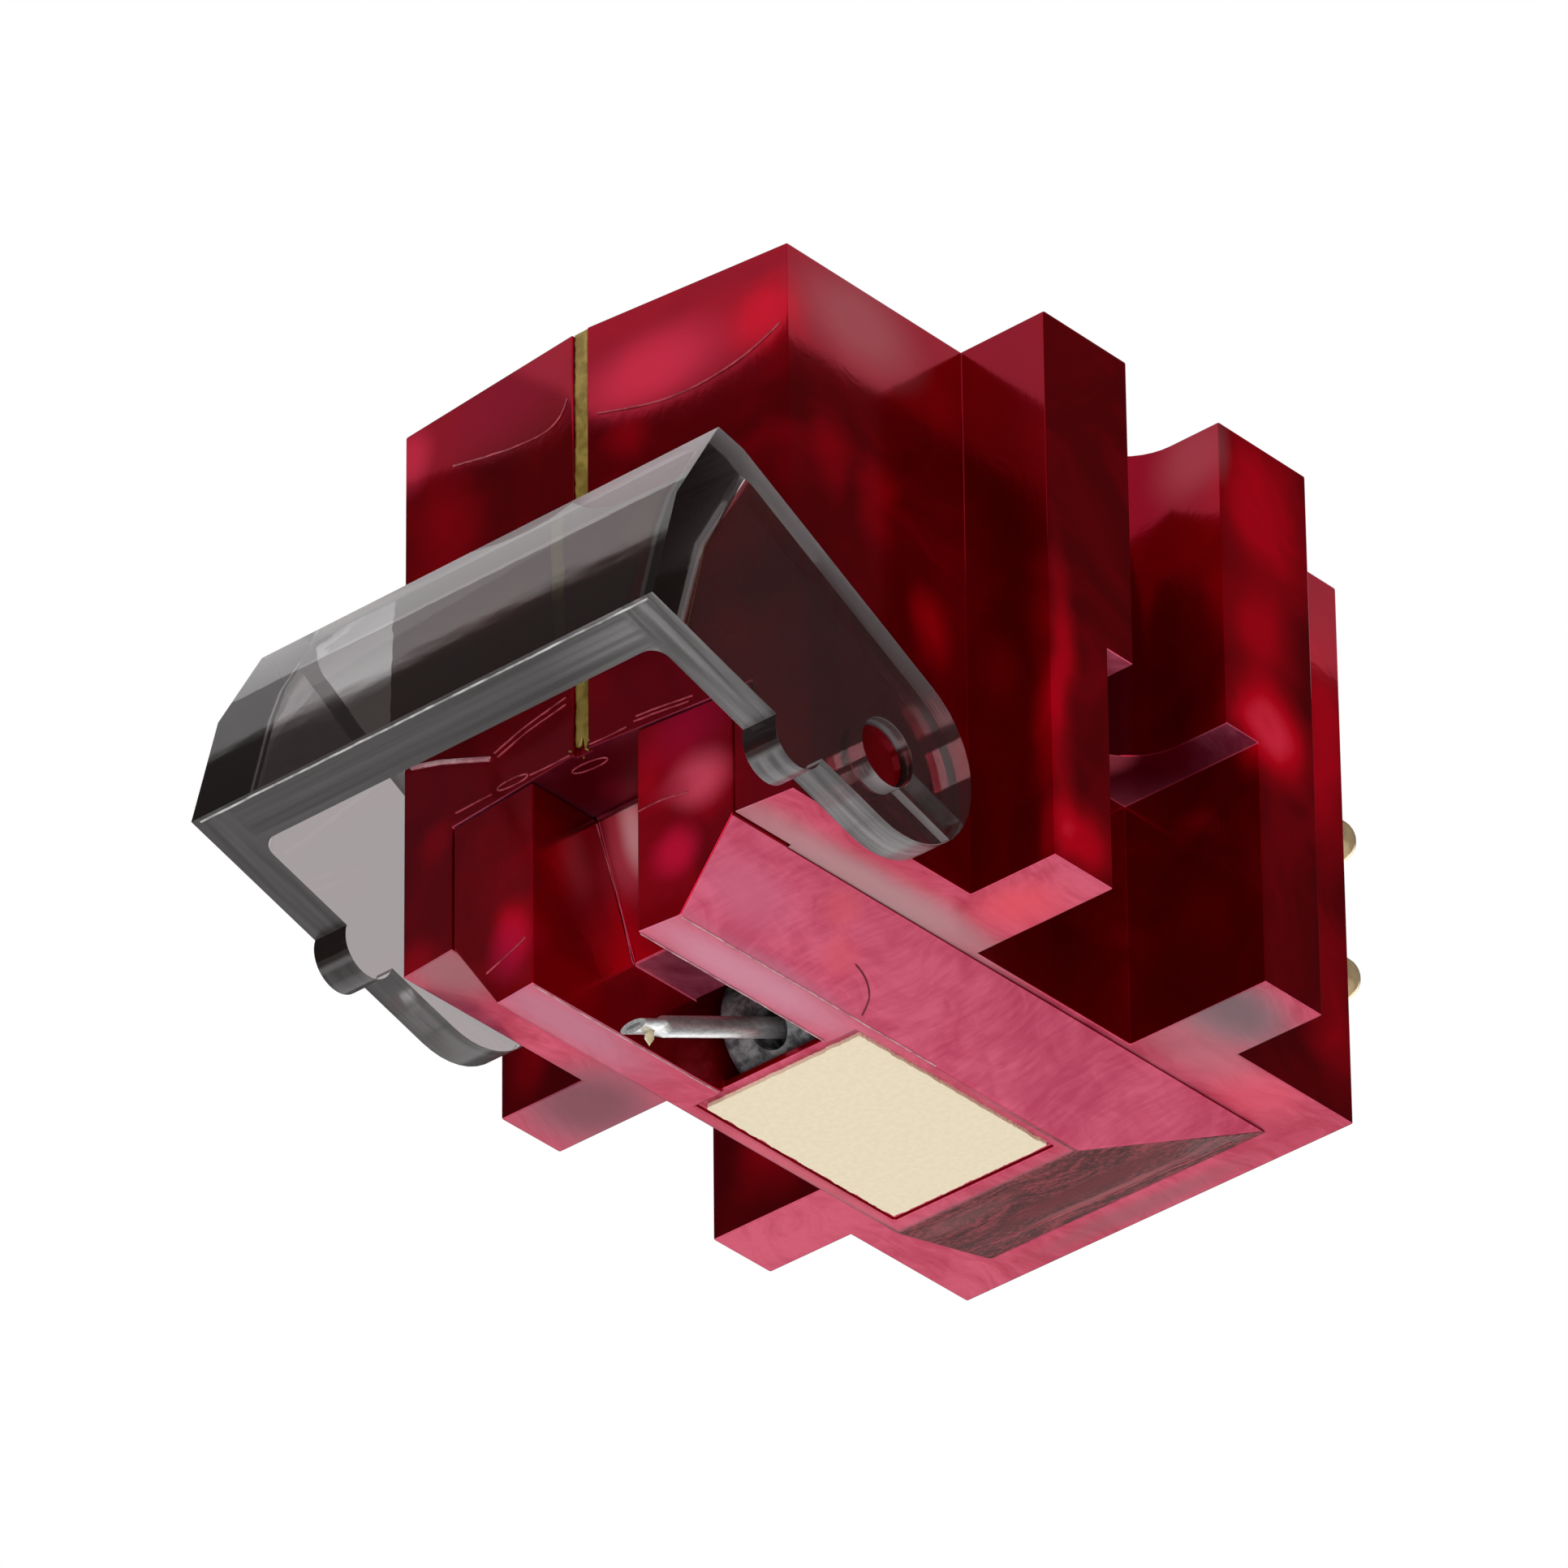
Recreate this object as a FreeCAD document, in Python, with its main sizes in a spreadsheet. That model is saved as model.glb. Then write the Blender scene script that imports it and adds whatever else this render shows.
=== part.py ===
import FreeCAD, Part
import math
import os

import Sketcher

# A moving-coil phono cartridge with a swinging stylus guard, in millimetres.
# The origin lies on the mounting face, midway between the two screw slots.
# +Z points out of the mounting face, the prow points to -Y and the pins point to +Y.

SIZES = {
    # Mounting face and shell
    "screw_pitch": (12.7, "distance between the centres of the two screw slots"),
    "slot_width": (3.0, "width of a screw slot"),
    "mount_setback": (9.65, "front corners to the line of the screws"),
    "block_width": (10.8, "width of the front and rear blocks"),
    "lug_span": (15.4, "width over the four lugs"),
    "shell_height": (13.5, "mounting face to the underside of the shell"),
    "prow_depth": (0.5, "ridge of the prow ahead of the front corners"),
    "front_block_length": (5.5, "front corners to the front lugs"),
    "rear_lug_length": (2.85, "screw slot to the rear of the rear lugs"),
    "rear_block_length": (3.75, "rear lugs to the rear face"),
    "nut_pocket_length": (4.85, "length of a nut pocket along the body"),
    "nut_pocket_shift": (0.1, "nut pocket centre behind the line of the screws"),
    "ledge_thickness": (7.6, "mounting face to the ceiling of a nut pocket"),
    "waist_width": (8.0, "width between the inner walls of the nut pockets"),
    "front_wall": (1.6, "thickness of the shell's front wall"),
    "rear_wall": (1.0, "thickness of the shell's rear wall"),
    "top_wall": (1.6, "thickness of the shell's top wall"),
    "cavity_width": (6.6, "width of the shell's cavity"),
    "notch_height": (3.0, "height of the notch in the foot of the front wall"),
    "cue_width": (0.4, "width of the cueing line"),
    "cue_groove_depth": (0.15, "depth of the cueing groove at the ridge"),
    "cue_fill": (0.1, "thickness of the paint in the cueing groove"),
    # Lower housing
    "keel_width": (7.76, "width of the keel where it leaves the shell"),
    "foot_width": (5.04, "width of the foot under the keel"),
    "keel_drop": (1.96, "height of the keel below the shell"),
    "keel_rear_inset": (0.97, "rear face to the rear edge of the keel"),
    "ramp_length": (4.58, "length of the rear ramp"),
    "notch_gap": (0.04, "gap round the keel in the front notch"),
    "channel_width": (2.9, "width of the cantilever channel"),
    "channel_slope_length": (1.13, "run of the sloped roof of the channel"),
    "channel_roof_drop": (0.07, "flat channel roof below the shell's underside"),
    "damper_bay_setback": (4.66, "front corners to the damper bay"),
    "damper_bay_rise": (1.3, "damper bay roof above the shell's underside"),
    "floor_setback": (5.5, "front corners to the front edge of the floor"),
    "floor_thickness": (0.32, "thickness of the floor under the generator"),
    "bay_width": (4.8, "width of the generator bay"),
    "bay_gap": (0.1, "front yoke to the wall of the generator bay"),
    "bay_rear_setback": (12.1, "front corners to the rear of the generator bay"),
    "plug_height": (2.1, "height of the plug inside the shell"),
    "plug_front_length": (3.5, "length of the tall front part of the plug"),
    "plug_gap": (0.05, "gap round the plug inside the shell"),
    "plug_rear_gap": (0.15, "gap behind the plug"),
    "recess_width": (4.44, "width of the label recess"),
    "recess_length": (6.25, "length of the label recess"),
    "recess_depth": (0.12, "depth of the label recess"),
    "label_gap": (0.07, "gap beside the label plate"),
    "label_front_gap": (0.2, "gap ahead of the label plate"),
    "label_rear_gap": (0.1, "gap behind the label plate"),
    "label_thickness": (0.1, "thickness of the label plate"),
    # Stylus guard, measured from its hinge with the guard half raised
    "hinge_setback": (1.8, "front corners to the guard hinge"),
    "hinge_rise": (1.3, "guard hinge above the underside of the shell"),
    "stud_radius": (0.72, "radius of a hinge stud"),
    "stud_gap": (0.06, "radial clearance of the studs in the guard"),
    "stud_recess": (0.25, "stud end below the outer face of the arm"),
    "guard_gap": (0.1, "gap between a guard arm and the shell"),
    "arm_thickness": (0.9, "thickness of a guard arm"),
    "guard_wall": (1.19, "thickness of the guard's front wall"),
    "guard_round": (0.4, "radius inside the guard's front corners"),
    "brow_reach": (5.11, "top front edge ahead of the hinge"),
    "brow_height": (5.47, "top front edge above the hinge"),
    "crown_reach": (4.365, "rear end of the top land ahead of the hinge"),
    "crown_height": (5.3, "rear end of the top land above the hinge"),
    "nose_reach": (6.41, "bend of the front wall ahead of the hinge"),
    "nose_height": (3.24, "bend of the front wall above the hinge"),
    "lip_reach": (7.17, "bottom front edge ahead of the hinge"),
    "lip_height": (0.44, "bottom front edge above the hinge"),
    "end_offset": (0.47, "centre of the round arm end behind the hinge"),
    "end_lift": (0.35, "centre of the round arm end above the hinge"),
    "end_radius": (2.15, "radius of the round arm end"),
    "knob_reach": (2.74, "finger knob ahead of the hinge"),
    "knob_drop": (0.93, "finger knob below the hinge"),
    "knob_radius": (0.72, "radius of the finger knob"),
    "lead_in_width": (0.7, "width of the lead-in groove for the stud"),
    "lead_in_depth": (0.45, "depth of the lead-in groove"),
    "lead_in_angle": (17.5, "slope of the lead-in groove down to the rear"),
    # Generator, laid out along the cantilever from the suspension point
    "tilt": (24.2, "rise of the cantilever towards the rear, in degrees"),
    "suspension_setback": (9.0, "front corners to the suspension point"),
    "suspension_rise": (0.62, "suspension point above the underside of the shell"),
    "cantilever_length": (8.65, "suspension point to the front end of the cantilever"),
    "cantilever_rear": (0.6, "rear end of the cantilever ahead of the suspension point"),
    "cantilever_radius": (0.23, "outer radius of the cantilever tube"),
    "cantilever_bore": (0.15, "inner radius of the cantilever tube"),
    "flat_length": (0.7, "length of the flattened tip"),
    "flat_taper": (0.3, "length over which the tube is flattened"),
    "flat_width": (0.7, "width of the flattened tip"),
    "flat_height": (0.24, "height of the flattened tip"),
    "slit_width": (0.4, "width of the opening in the flattened end"),
    "slit_height": (0.08, "height of the opening in the flattened end"),
    "slit_depth": (0.25, "depth of the opening in the flattened end"),
    "diamond_setback": (0.54, "front end of the cantilever to the diamond"),
    "diamond_radius": (0.1, "radius of the diamond's shank"),
    "diamond_gap": (0.01, "glue gap round the diamond"),
    "diamond_reach": (0.475, "cantilever axis down to the diamond's point"),
    "diamond_head": (0.14, "diamond above the cantilever axis"),
    "diamond_cone": (0.18, "height of the diamond's cone"),
    "collar_radius": (0.32, "outer radius of the cantilever sleeve"),
    "collar_length": (1.15, "length of the cantilever sleeve"),
    "glue_gap": (0.01, "glue gap of parts that are joined one inside another"),
    "hub_radius": (0.43, "radius of the armature hub"),
    "hub_front": (1.0, "front of the hub ahead of the suspension point"),
    "hub_rear": (0.36, "rear of the hub ahead of the suspension point"),
    "cross_reach": (1.15, "reach of an armature arm"),
    "cross_width": (0.3, "width of an armature arm"),
    "cross_thickness": (0.3, "thickness of an armature arm"),
    "cross_centre": (0.68, "centre of the arms ahead of the suspension point"),
    "coil_inner_reach": (0.45, "inner end of a coil from the axis"),
    "coil_outer_reach": (1.0, "outer end of a coil from the axis"),
    "coil_size": (0.62, "outer size of a coil's square winding"),
    "coil_gap": (0.02, "gap between a coil and its arm"),
    "wire_radius": (0.05, "radius of the suspension wire"),
    "wire_front": (0.7, "front end of the suspension wire"),
    "wire_rear": (2.85, "rear end of the suspension wire"),
    "wire_swing_gap": (0.05, "room for the wire to bend in the hub"),
    "pivot_damper_radius": (0.75, "radius of the rubber disc at the suspension point"),
    "pivot_damper_front": (0.3, "front of the rubber disc"),
    "pivot_damper_rear": (0.16, "rear of the rubber disc"),
    "pivot_damper_gap": (0.04, "gap round the wire in the rubber disc"),
    "pole_radius": (1.0, "radius of the rear pole"),
    "pole_front": (0.2, "front of the rear pole"),
    "yoke_width": (4.6, "width of both yokes"),
    "yoke_rise": (3.9, "top of both yokes above the axis"),
    "yoke_drop": (1.75, "bottom of both yokes below the axis"),
    "front_yoke_thickness": (1.0, "thickness of the front yoke"),
    "rear_yoke_thickness": (1.2, "thickness of the rear yoke"),
    "magnet_front": (0.05, "front of the magnet ahead of the suspension point"),
    "magnet_thickness": (1.25, "thickness of the magnet along the cantilever axis"),
    "magnet_width": (4.5, "width of the magnet"),
    "magnet_foot": (1.25, "bottom of the magnet above the axis"),
    "gap_radius": (1.4, "radius of the hole in the front yoke"),
    "holder_radius": (0.27, "outer radius of the suspension sleeve"),
    "holder_overhang": (0.35, "suspension sleeve behind the rear yoke"),
    "set_screw_radius": (0.4, "radius of the suspension set screw"),
    "set_screw_inset": (0.05, "set screw below the side of the yoke"),
    "set_screw_slot_width": (0.15, "width of the driver slot"),
    "set_screw_slot_depth": (0.2, "depth of the driver slot"),
    "board_width": (3.8, "width of the tag board"),
    "board_height": (2.5, "height of the tag board"),
    "board_foot": (0.9, "bottom of the tag board above the axis"),
    "board_thickness": (0.3, "thickness of the tag board"),
    "board_gap": (0.02, "glue gap of the tag board"),
    "damper_radius": (1.5, "radius of the damper block"),
    "damper_length": (2.6, "length of the damper block across the channel"),
    "damper_round": (0.3, "rounding of the damper block's ends"),
    "damper_front": (2.58, "centre of the damper block ahead of the suspension point"),
    "damper_lift": (0.16, "centre of the damper block above the cantilever axis"),
    "damper_bore": (0.47, "radius of the hole for the cantilever"),
    "damper_floor_gap": (0.05, "gap under the damper block"),
    # Terminals
    "pin_radius": (0.5, "radius of the free part of a terminal pin"),
    "pin_root_radius": (0.72, "radius of a pin inside the body"),
    "pin_collar": (0.15, "thick root of a pin beyond the rear face"),
    "pin_pitch": (5.5, "distance between the left and right pins"),
    "upper_pin_depth": (3.95, "mounting face to the upper pins"),
    "lower_pin_depth": (7.45, "mounting face to the lower pins"),
    "pin_protrusion": (3.4, "pins beyond the rear face"),
    "pin_tail": (0.3, "pins beyond the inner face of the terminal block"),
    "pin_gap": (0.03, "clearance round the root of a pin"),
    "terminal_bay_length": (3.0, "length of the wider rear part of the cavity"),
    "terminal_block_side_gap": (0.1, "gap beside the terminal block"),
    "terminal_block_edge": (0.95, "axis of a pin to the side of the terminal block"),
    "terminal_block_margin": (1.75, "axis of a pin to the top or foot of the terminal block"),
    "terminal_block_thickness": (1.35, "thickness of the terminal block"),
    "terminal_block_gap": (0.05, "gap behind the terminal block"),
    "lead_radius": (0.15, "radius of a lead wire"),
    "inner_lead_x": (0.6, "inner solder tags from the middle of the tag board"),
    "outer_lead_x": (1.5, "outer solder tags from the middle of the tag board"),
    "lead_height": (2.4, "solder tags above the axis"),
}

# How far a cutting outline runs past the solid that it cuts
OVERCUT = 1.0
SIDES = {"left": -1, "right": 1}


class Size:
    """A length or an angle, with the formula that ties it to the sheet."""

    def __init__(self, text, value):
        self.text = text
        self.value = float(value)

    def _join(self, sign, other, value):
        return Size("(%s %s %s)" % (self.text, sign, other.text), value)

    def __add__(self, other):
        other = as_size(other)
        return self._join("+", other, self.value + other.value)

    def __radd__(self, other):
        return as_size(other) + self

    def __sub__(self, other):
        other = as_size(other)
        return self._join("-", other, self.value - other.value)

    def __rsub__(self, other):
        return as_size(other) - self

    def __mul__(self, other):
        other = as_size(other)
        return self._join("*", other, self.value * other.value)

    def __rmul__(self, other):
        return as_size(other) * self

    def __truediv__(self, other):
        other = as_size(other)
        return self._join("/", other, self.value / other.value)

    def __neg__(self):
        return Size("(0 - %s)" % self.text, -self.value)


def as_size(value):
    """A plain number becomes a size of its own."""
    if isinstance(value, Size):
        return value
    return Size("(%r)" % float(value), value)


def sine(angle):
    """Sine of an angle in degrees."""
    return Size("sin(%s)" % angle.text, math.sin(math.radians(angle.value)))


def cosine(angle):
    """Cosine of an angle in degrees."""
    return Size("cos(%s)" % angle.text, math.cos(math.radians(angle.value)))


class Sizes:
    """The driving dimensions, read by name."""

    def __getattr__(self, name):
        return Size("Sizes.%s" % name, SIZES[name][0])


S = Sizes()
DOC = FreeCAD.newDocument("Cartridge")


def write_sheet():
    """Put every driving dimension in the sheet, with its meaning beside it."""
    sheet = DOC.addObject("Spreadsheet::Sheet", "Sizes")
    for row, (name, (value, meaning)) in enumerate(SIZES.items(), start=1):
        sheet.set("A%d" % row, meaning)
        sheet.set("B%d" % row, repr(value))
        sheet.setAlias("B%d" % row, name)
    DOC.recompute()


# Places that several pieces share
def front_y():
    """Plane of the front corners."""
    return -S.mount_setback


def ridge_y():
    """Ridge of the prow."""
    return front_y() - S.prow_depth


def prow_y(x):
    """Face of the prow at a distance from the middle."""
    return ridge_y() + S.prow_depth * 2 * x / S.block_width


def lug_rear_y():
    """Rear faces of the rear lugs."""
    return S.slot_width / 2 + S.rear_lug_length


def rear_y():
    """Rear face of the shell."""
    return lug_rear_y() + S.rear_block_length


def cavity_front_y():
    """Inner face of the front wall."""
    return front_y() + S.front_wall


def cavity_rear_y():
    """Inner face of the rear wall."""
    return rear_y() - S.rear_wall


def shell_z():
    """Underside of the shell."""
    return -S.shell_height


def notch_z():
    """Top of the notch in the front wall."""
    return shell_z() + S.notch_height


def foot_z():
    """Underside of the foot."""
    return shell_z() - S.keel_drop


def floor_z():
    """Upper face of the floor under the generator."""
    return foot_z() + S.floor_thickness


def hinge_y():
    """Axis of the guard hinge."""
    return front_y() + S.hinge_setback


def hinge_z():
    """Axis of the guard hinge."""
    return shell_z() + S.hinge_rise


def guard_inner_x():
    """Inner face of a guard arm."""
    return S.block_width / 2 + S.guard_gap


def guard_outer_x():
    """Outer face of a guard arm."""
    return guard_inner_x() + S.arm_thickness


def suspension_y():
    """Suspension point of the cantilever."""
    return front_y() + S.suspension_setback


def suspension_z():
    """Suspension point of the cantilever."""
    return shell_z() + S.suspension_rise


def tilted(along, above):
    """Place in the body of a point given along and above the cantilever axis."""
    y = suspension_y() + along * cosine(S.tilt) - above * sine(S.tilt)
    z = suspension_z() + along * sine(S.tilt) + above * cosine(S.tilt)
    return y, z


def magnet_rear():
    """Rear of the magnet, behind the suspension point."""
    return S.magnet_thickness - S.magnet_front


def rear_yoke_rear():
    """Rear of the rear yoke, behind the suspension point."""
    return magnet_rear() + S.rear_yoke_thickness


def diamond_along():
    """Diamond on the cantilever axis, ahead of the suspension point."""
    return -(S.cantilever_length - S.diamond_setback)


def terminal_block_rear_y():
    """Rear face of the terminal block."""
    return cavity_rear_y() - S.terminal_block_gap


def terminal_block_half():
    """Half width of the terminal block."""
    return S.pin_pitch / 2 + S.terminal_block_edge


def pin_tail_y():
    """Inner ends of the pins."""
    return terminal_block_rear_y() - S.terminal_block_thickness - S.pin_tail


def pin_places():
    """Name, x and z of each terminal pin."""
    places = []
    for side, sign in SIDES.items():
        places.append(("upper_" + side, sign * S.pin_pitch / 2, -S.upper_pin_depth))
        places.append(("lower_" + side, sign * S.pin_pitch / 2, -S.lower_pin_depth))
    return places


# Tools of the drawing board
def new_body(name, y=None, z=None, x=None, tilt=False):
    """A sub-part at its place, turned to the cantilever's slope if asked."""
    body = DOC.addObject("PartDesign::Body", name)
    body.Label = name
    if tilt:
        body.Placement = FreeCAD.Placement(
            FreeCAD.Vector(), FreeCAD.Rotation(FreeCAD.Vector(1, 0, 0), S.tilt.value))
        body.setExpression("Placement.Rotation.Angle", S.tilt.text)
    for axis, place in (("x", x), ("y", y), ("z", z)):
        if place is not None:
            body.setExpression("Placement.Base." + axis, place.text)
    return body


def generator_body(name):
    """A sub-part drawn along the cantilever axis from the suspension point."""
    return new_body(name, y=suspension_y(), z=suspension_z(), tilt=True)


def origin_item(body, role):
    """One of the body's own origin planes or axes."""
    for item in body.Origin.OriginFeatures:
        if item.Role == role:
            return item
    raise ValueError(role)


def new_sketch(body, name, plane, offset=None, along=None, turn=None):
    """A sketch on an origin plane, offset along its normal, shifted or turned."""
    sketch = body.newObject("Sketcher::SketchObject", name)
    sketch.AttachmentSupport = [(origin_item(body, plane), "")]
    sketch.MapMode = "FlatFace"
    if turn is not None:
        sketch.AttachmentOffset = FreeCAD.Placement(
            FreeCAD.Vector(), FreeCAD.Rotation(FreeCAD.Vector(1, 0, 0), turn.value))
        sketch.setExpression("AttachmentOffset.Rotation.Angle", turn.text)
    if offset is not None:
        sketch.setExpression("AttachmentOffset.Base.z", offset.text)
    if along is not None:
        sketch.setExpression("AttachmentOffset.Base.y", along.text)
    return sketch


def hold(sketch, kind, item, point, size):
    """Fix one coordinate of a point from the sketch's origin."""
    index = sketch.addConstraint(Sketcher.Constraint(kind, -1, 1, item, point, size.value))
    sketch.setExpression("Constraints[%d]" % index, size.text)


def hold_point(sketch, item, point, place):
    """Fix both coordinates of a point from the sketch's origin."""
    for kind, size in zip(("DistanceX", "DistanceY"), place):
        hold(sketch, kind, item, point, as_size(size))


def flat(place):
    """Point of the sketch plane."""
    return FreeCAD.Vector(as_size(place[0]).value, as_size(place[1]).value, 0)


def draw_line(sketch, start, end, guide=False):
    """One straight line, as a guide only if asked."""
    return sketch.addGeometry(Part.LineSegment(flat(start), flat(end)), guide)


def draw_polygon(sketch, corners):
    """A closed outline of straight lines through the given corners."""
    count = len(corners)
    lines = [draw_line(sketch, corners[i], corners[(i + 1) % count]) for i in range(count)]
    for i in range(count):
        sketch.addConstraint(
            Sketcher.Constraint("Coincident", lines[i], 2, lines[(i + 1) % count], 1))
    for line, corner in zip(lines, corners):
        hold_point(sketch, line, 1, corner)


def draw_rectangle(sketch, left, right, bottom, top):
    """A rectangle between two pairs of parallel sides."""
    draw_polygon(sketch, [(left, bottom), (right, bottom), (right, top), (left, top)])


def draw_circle(sketch, centre, radius):
    """A full circle."""
    item = sketch.addGeometry(
        Part.Circle(flat(centre), FreeCAD.Vector(0, 0, 1), radius.value), False)
    index = sketch.addConstraint(Sketcher.Constraint("Radius", item, radius.value))
    sketch.setExpression("Constraints[%d]" % index, radius.text)
    hold_point(sketch, item, 3, centre)


def draw_ellipse(sketch, half_width, half_height):
    """A flat ellipse round the sketch's origin."""
    ellipse = Part.Ellipse(FreeCAD.Vector(), half_width.value, half_height.value)
    item = sketch.addGeometry(ellipse, False)
    sketch.exposeInternalGeometry(item)
    major, minor = item + 1, item + 2
    sketch.addConstraint(Sketcher.Constraint("Coincident", item, 3, -1, 1))
    sketch.addConstraint(Sketcher.Constraint("Horizontal", major))
    for line, half in ((major, half_width), (minor, half_height)):
        index = sketch.addConstraint(Sketcher.Constraint("Distance", line, 2 * half.value))
        sketch.setExpression("Constraints[%d]" % index, (2 * half).text)


def extrude(body, kind, name, sketch, length=None, reverse=False, both=False):
    """A pad or a pocket, through everything where no length is given."""
    feature = body.newObject("PartDesign::" + kind, name)
    feature.Profile = sketch
    feature.Reversed = reverse
    if both:
        feature.SideType = "Symmetric"
    if length is None:
        feature.Type = "ThroughAll"
    else:
        feature.setExpression("Length", as_size(length).text)
    return feature


def pad(body, name, sketch, length, reverse=False, both=False):
    """Material on one side of a sketch, or on both."""
    return extrude(body, "Pad", name, sketch, length, reverse, both)


def pocket(body, name, sketch, length=None, reverse=False, both=False):
    """A cut on one side of a sketch, or on both."""
    return extrude(body, "Pocket", name, sketch, length, reverse, both)


def turn(body, name, sketch, axis):
    """A solid of revolution about one of the body's own axes."""
    feature = body.newObject("PartDesign::Revolution", name)
    feature.Profile = sketch
    feature.ReferenceAxis = (origin_item(body, axis), [""])
    feature.Angle = 360.0
    return feature


def turned_body(body, corners):
    """A piece turned about Y, from corners given along the axis and off it."""
    sketch = new_sketch(body, body.Name + "_section", "YZ_Plane")
    draw_polygon(sketch, corners)
    return turn(body, body.Name + "_turned", sketch, "Y_Axis")


def tube_corners(front, rear, inner, outer):
    """Half section of a plain tube, or of a rod where the inner radius is nought."""
    return [(front, inner), (rear, inner), (rear, outer), (front, outer)]


def mirror(body, name, features):
    """The same features on the other side of the middle plane."""
    feature = body.newObject("PartDesign::Mirrored", name)
    feature.Originals = features
    feature.MirrorPlane = (origin_item(body, "YZ_Plane"), [""])
    body.Tip = feature
    return feature


def fillet(body, name, base, edges, radius):
    """Rounded edges of one feature."""
    feature = body.newObject("PartDesign::Fillet", name)
    feature.Base = (base, edges)
    feature.setExpression("Radius", radius.text)
    return feature


def edge_names(feature, wanted):
    """Names of the edges that a test picks."""
    return ["Edge%d" % (i + 1) for i, edge in enumerate(feature.Shape.Edges) if wanted(edge)]


# Casings
def make_upper_housing():
    """Shell: two blocks with four lugs, nut pockets, a cavity and hinge studs."""
    body = new_body("upper_housing")
    half_block = S.block_width / 2
    half_lugs = S.lug_span / 2
    lug_front = front_y() + S.front_block_length
    right_side = [(half_block, front_y()), (half_block, lug_front), (half_lugs, lug_front),
                  (half_lugs, lug_rear_y()), (half_block, lug_rear_y()), (half_block, rear_y())]
    left_side = [(-x, y) for x, y in reversed(right_side)]
    plan = new_sketch(body, "shell_plan", "XY_Plane")
    draw_polygon(plan, [(0, ridge_y())] + right_side + left_side)
    pad(body, "shell_block", plan, S.shell_height, reverse=True)

    cavity = new_sketch(body, "cavity_plan", "XY_Plane", offset=-S.top_wall)
    draw_rectangle(cavity, -S.cavity_width / 2, S.cavity_width / 2,
                   cavity_front_y(), cavity_rear_y())
    pocket(body, "cavity", cavity)

    bay = new_sketch(body, "terminal_bay_plan", "XY_Plane", offset=-S.top_wall)
    half_bay = terminal_block_half() + S.terminal_block_side_gap
    draw_rectangle(bay, -half_bay, half_bay,
                   cavity_rear_y() - S.terminal_bay_length, cavity_rear_y())
    pocket(body, "terminal_bay", bay)

    notch = new_sketch(body, "notch_plan", "XY_Plane", offset=notch_z())
    half_notch = S.keel_width / 2 + S.notch_gap
    draw_rectangle(notch, -half_notch, half_notch, ridge_y() - OVERCUT, cavity_front_y())
    pocket(body, "front_notch", notch)

    groove = new_sketch(body, "cue_groove_plan", "XY_Plane")
    draw_rectangle(groove, -S.cue_width / 2, S.cue_width / 2,
                   ridge_y() - OVERCUT, ridge_y() + S.cue_groove_depth)
    pocket(body, "cue_groove", groove, -notch_z())

    holes = new_sketch(body, "pin_hole_plan", "XZ_Plane", offset=-rear_y())
    for _name, x, z in pin_places():
        draw_circle(holes, (x, z), S.pin_root_radius + S.pin_gap)
    pocket(body, "pin_holes", holes, S.rear_wall, reverse=True)

    slot = new_sketch(body, "screw_slot_plan", "XY_Plane")
    draw_open_slot(slot, S.screw_pitch / 2, half_lugs + OVERCUT, S.slot_width / 2)
    slot_cut = pocket(body, "screw_slot", slot)

    nut = new_sketch(body, "nut_pocket_plan", "XY_Plane", offset=-S.ledge_thickness)
    draw_rectangle(nut, S.waist_width / 2, half_lugs + OVERCUT,
                   S.nut_pocket_shift - S.nut_pocket_length / 2,
                   S.nut_pocket_shift + S.nut_pocket_length / 2)
    nut_cut = pocket(body, "nut_pocket", nut)

    stud = new_sketch(body, "hinge_stud_plan", "YZ_Plane", offset=half_block)
    draw_circle(stud, (hinge_y(), hinge_z()), S.stud_radius)
    stud_pad = pad(body, "hinge_stud", stud, guard_outer_x() - S.stud_recess - half_block)
    mirror(body, "other_side", [slot_cut, nut_cut, stud_pad])
    return body


def draw_open_slot(sketch, centre_x, open_x, radius):
    """A slot with one round end, open at the other."""
    near, far = centre_x, open_x
    lower = draw_line(sketch, (far, -radius), (near, -radius))
    arc = sketch.addGeometry(
        Part.ArcOfCircle(
            Part.Circle(flat((near, 0)), FreeCAD.Vector(0, 0, 1), radius.value),
            math.radians(90), math.radians(270)), False)
    upper = draw_line(sketch, (near, radius), (far, radius))
    mouth = draw_line(sketch, (far, radius), (far, -radius))
    for first, end, second, start in ((lower, 2, arc, 2), (arc, 1, upper, 1),
                                      (upper, 2, mouth, 1), (mouth, 2, lower, 1)):
        sketch.addConstraint(Sketcher.Constraint("Coincident", first, end, second, start))
    hold_point(sketch, lower, 1, (far, -radius))
    hold_point(sketch, lower, 2, (near, -radius))
    hold_point(sketch, upper, 1, (near, radius))
    hold_point(sketch, upper, 2, (far, radius))
    hold(sketch, "DistanceX", arc, 3, near)


def make_cue_line():
    """Paint in the groove down the ridge, for lining up the stylus."""
    body = new_body("cue_line")
    plan = new_sketch(body, "cue_plan", "XY_Plane")
    groove_floor = ridge_y() + S.cue_groove_depth
    draw_rectangle(plan, -S.cue_width / 2, S.cue_width / 2, groove_floor - S.cue_fill, groove_floor)
    pad(body, "cue_strip", plan, -notch_z(), reverse=True)
    return body


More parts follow.
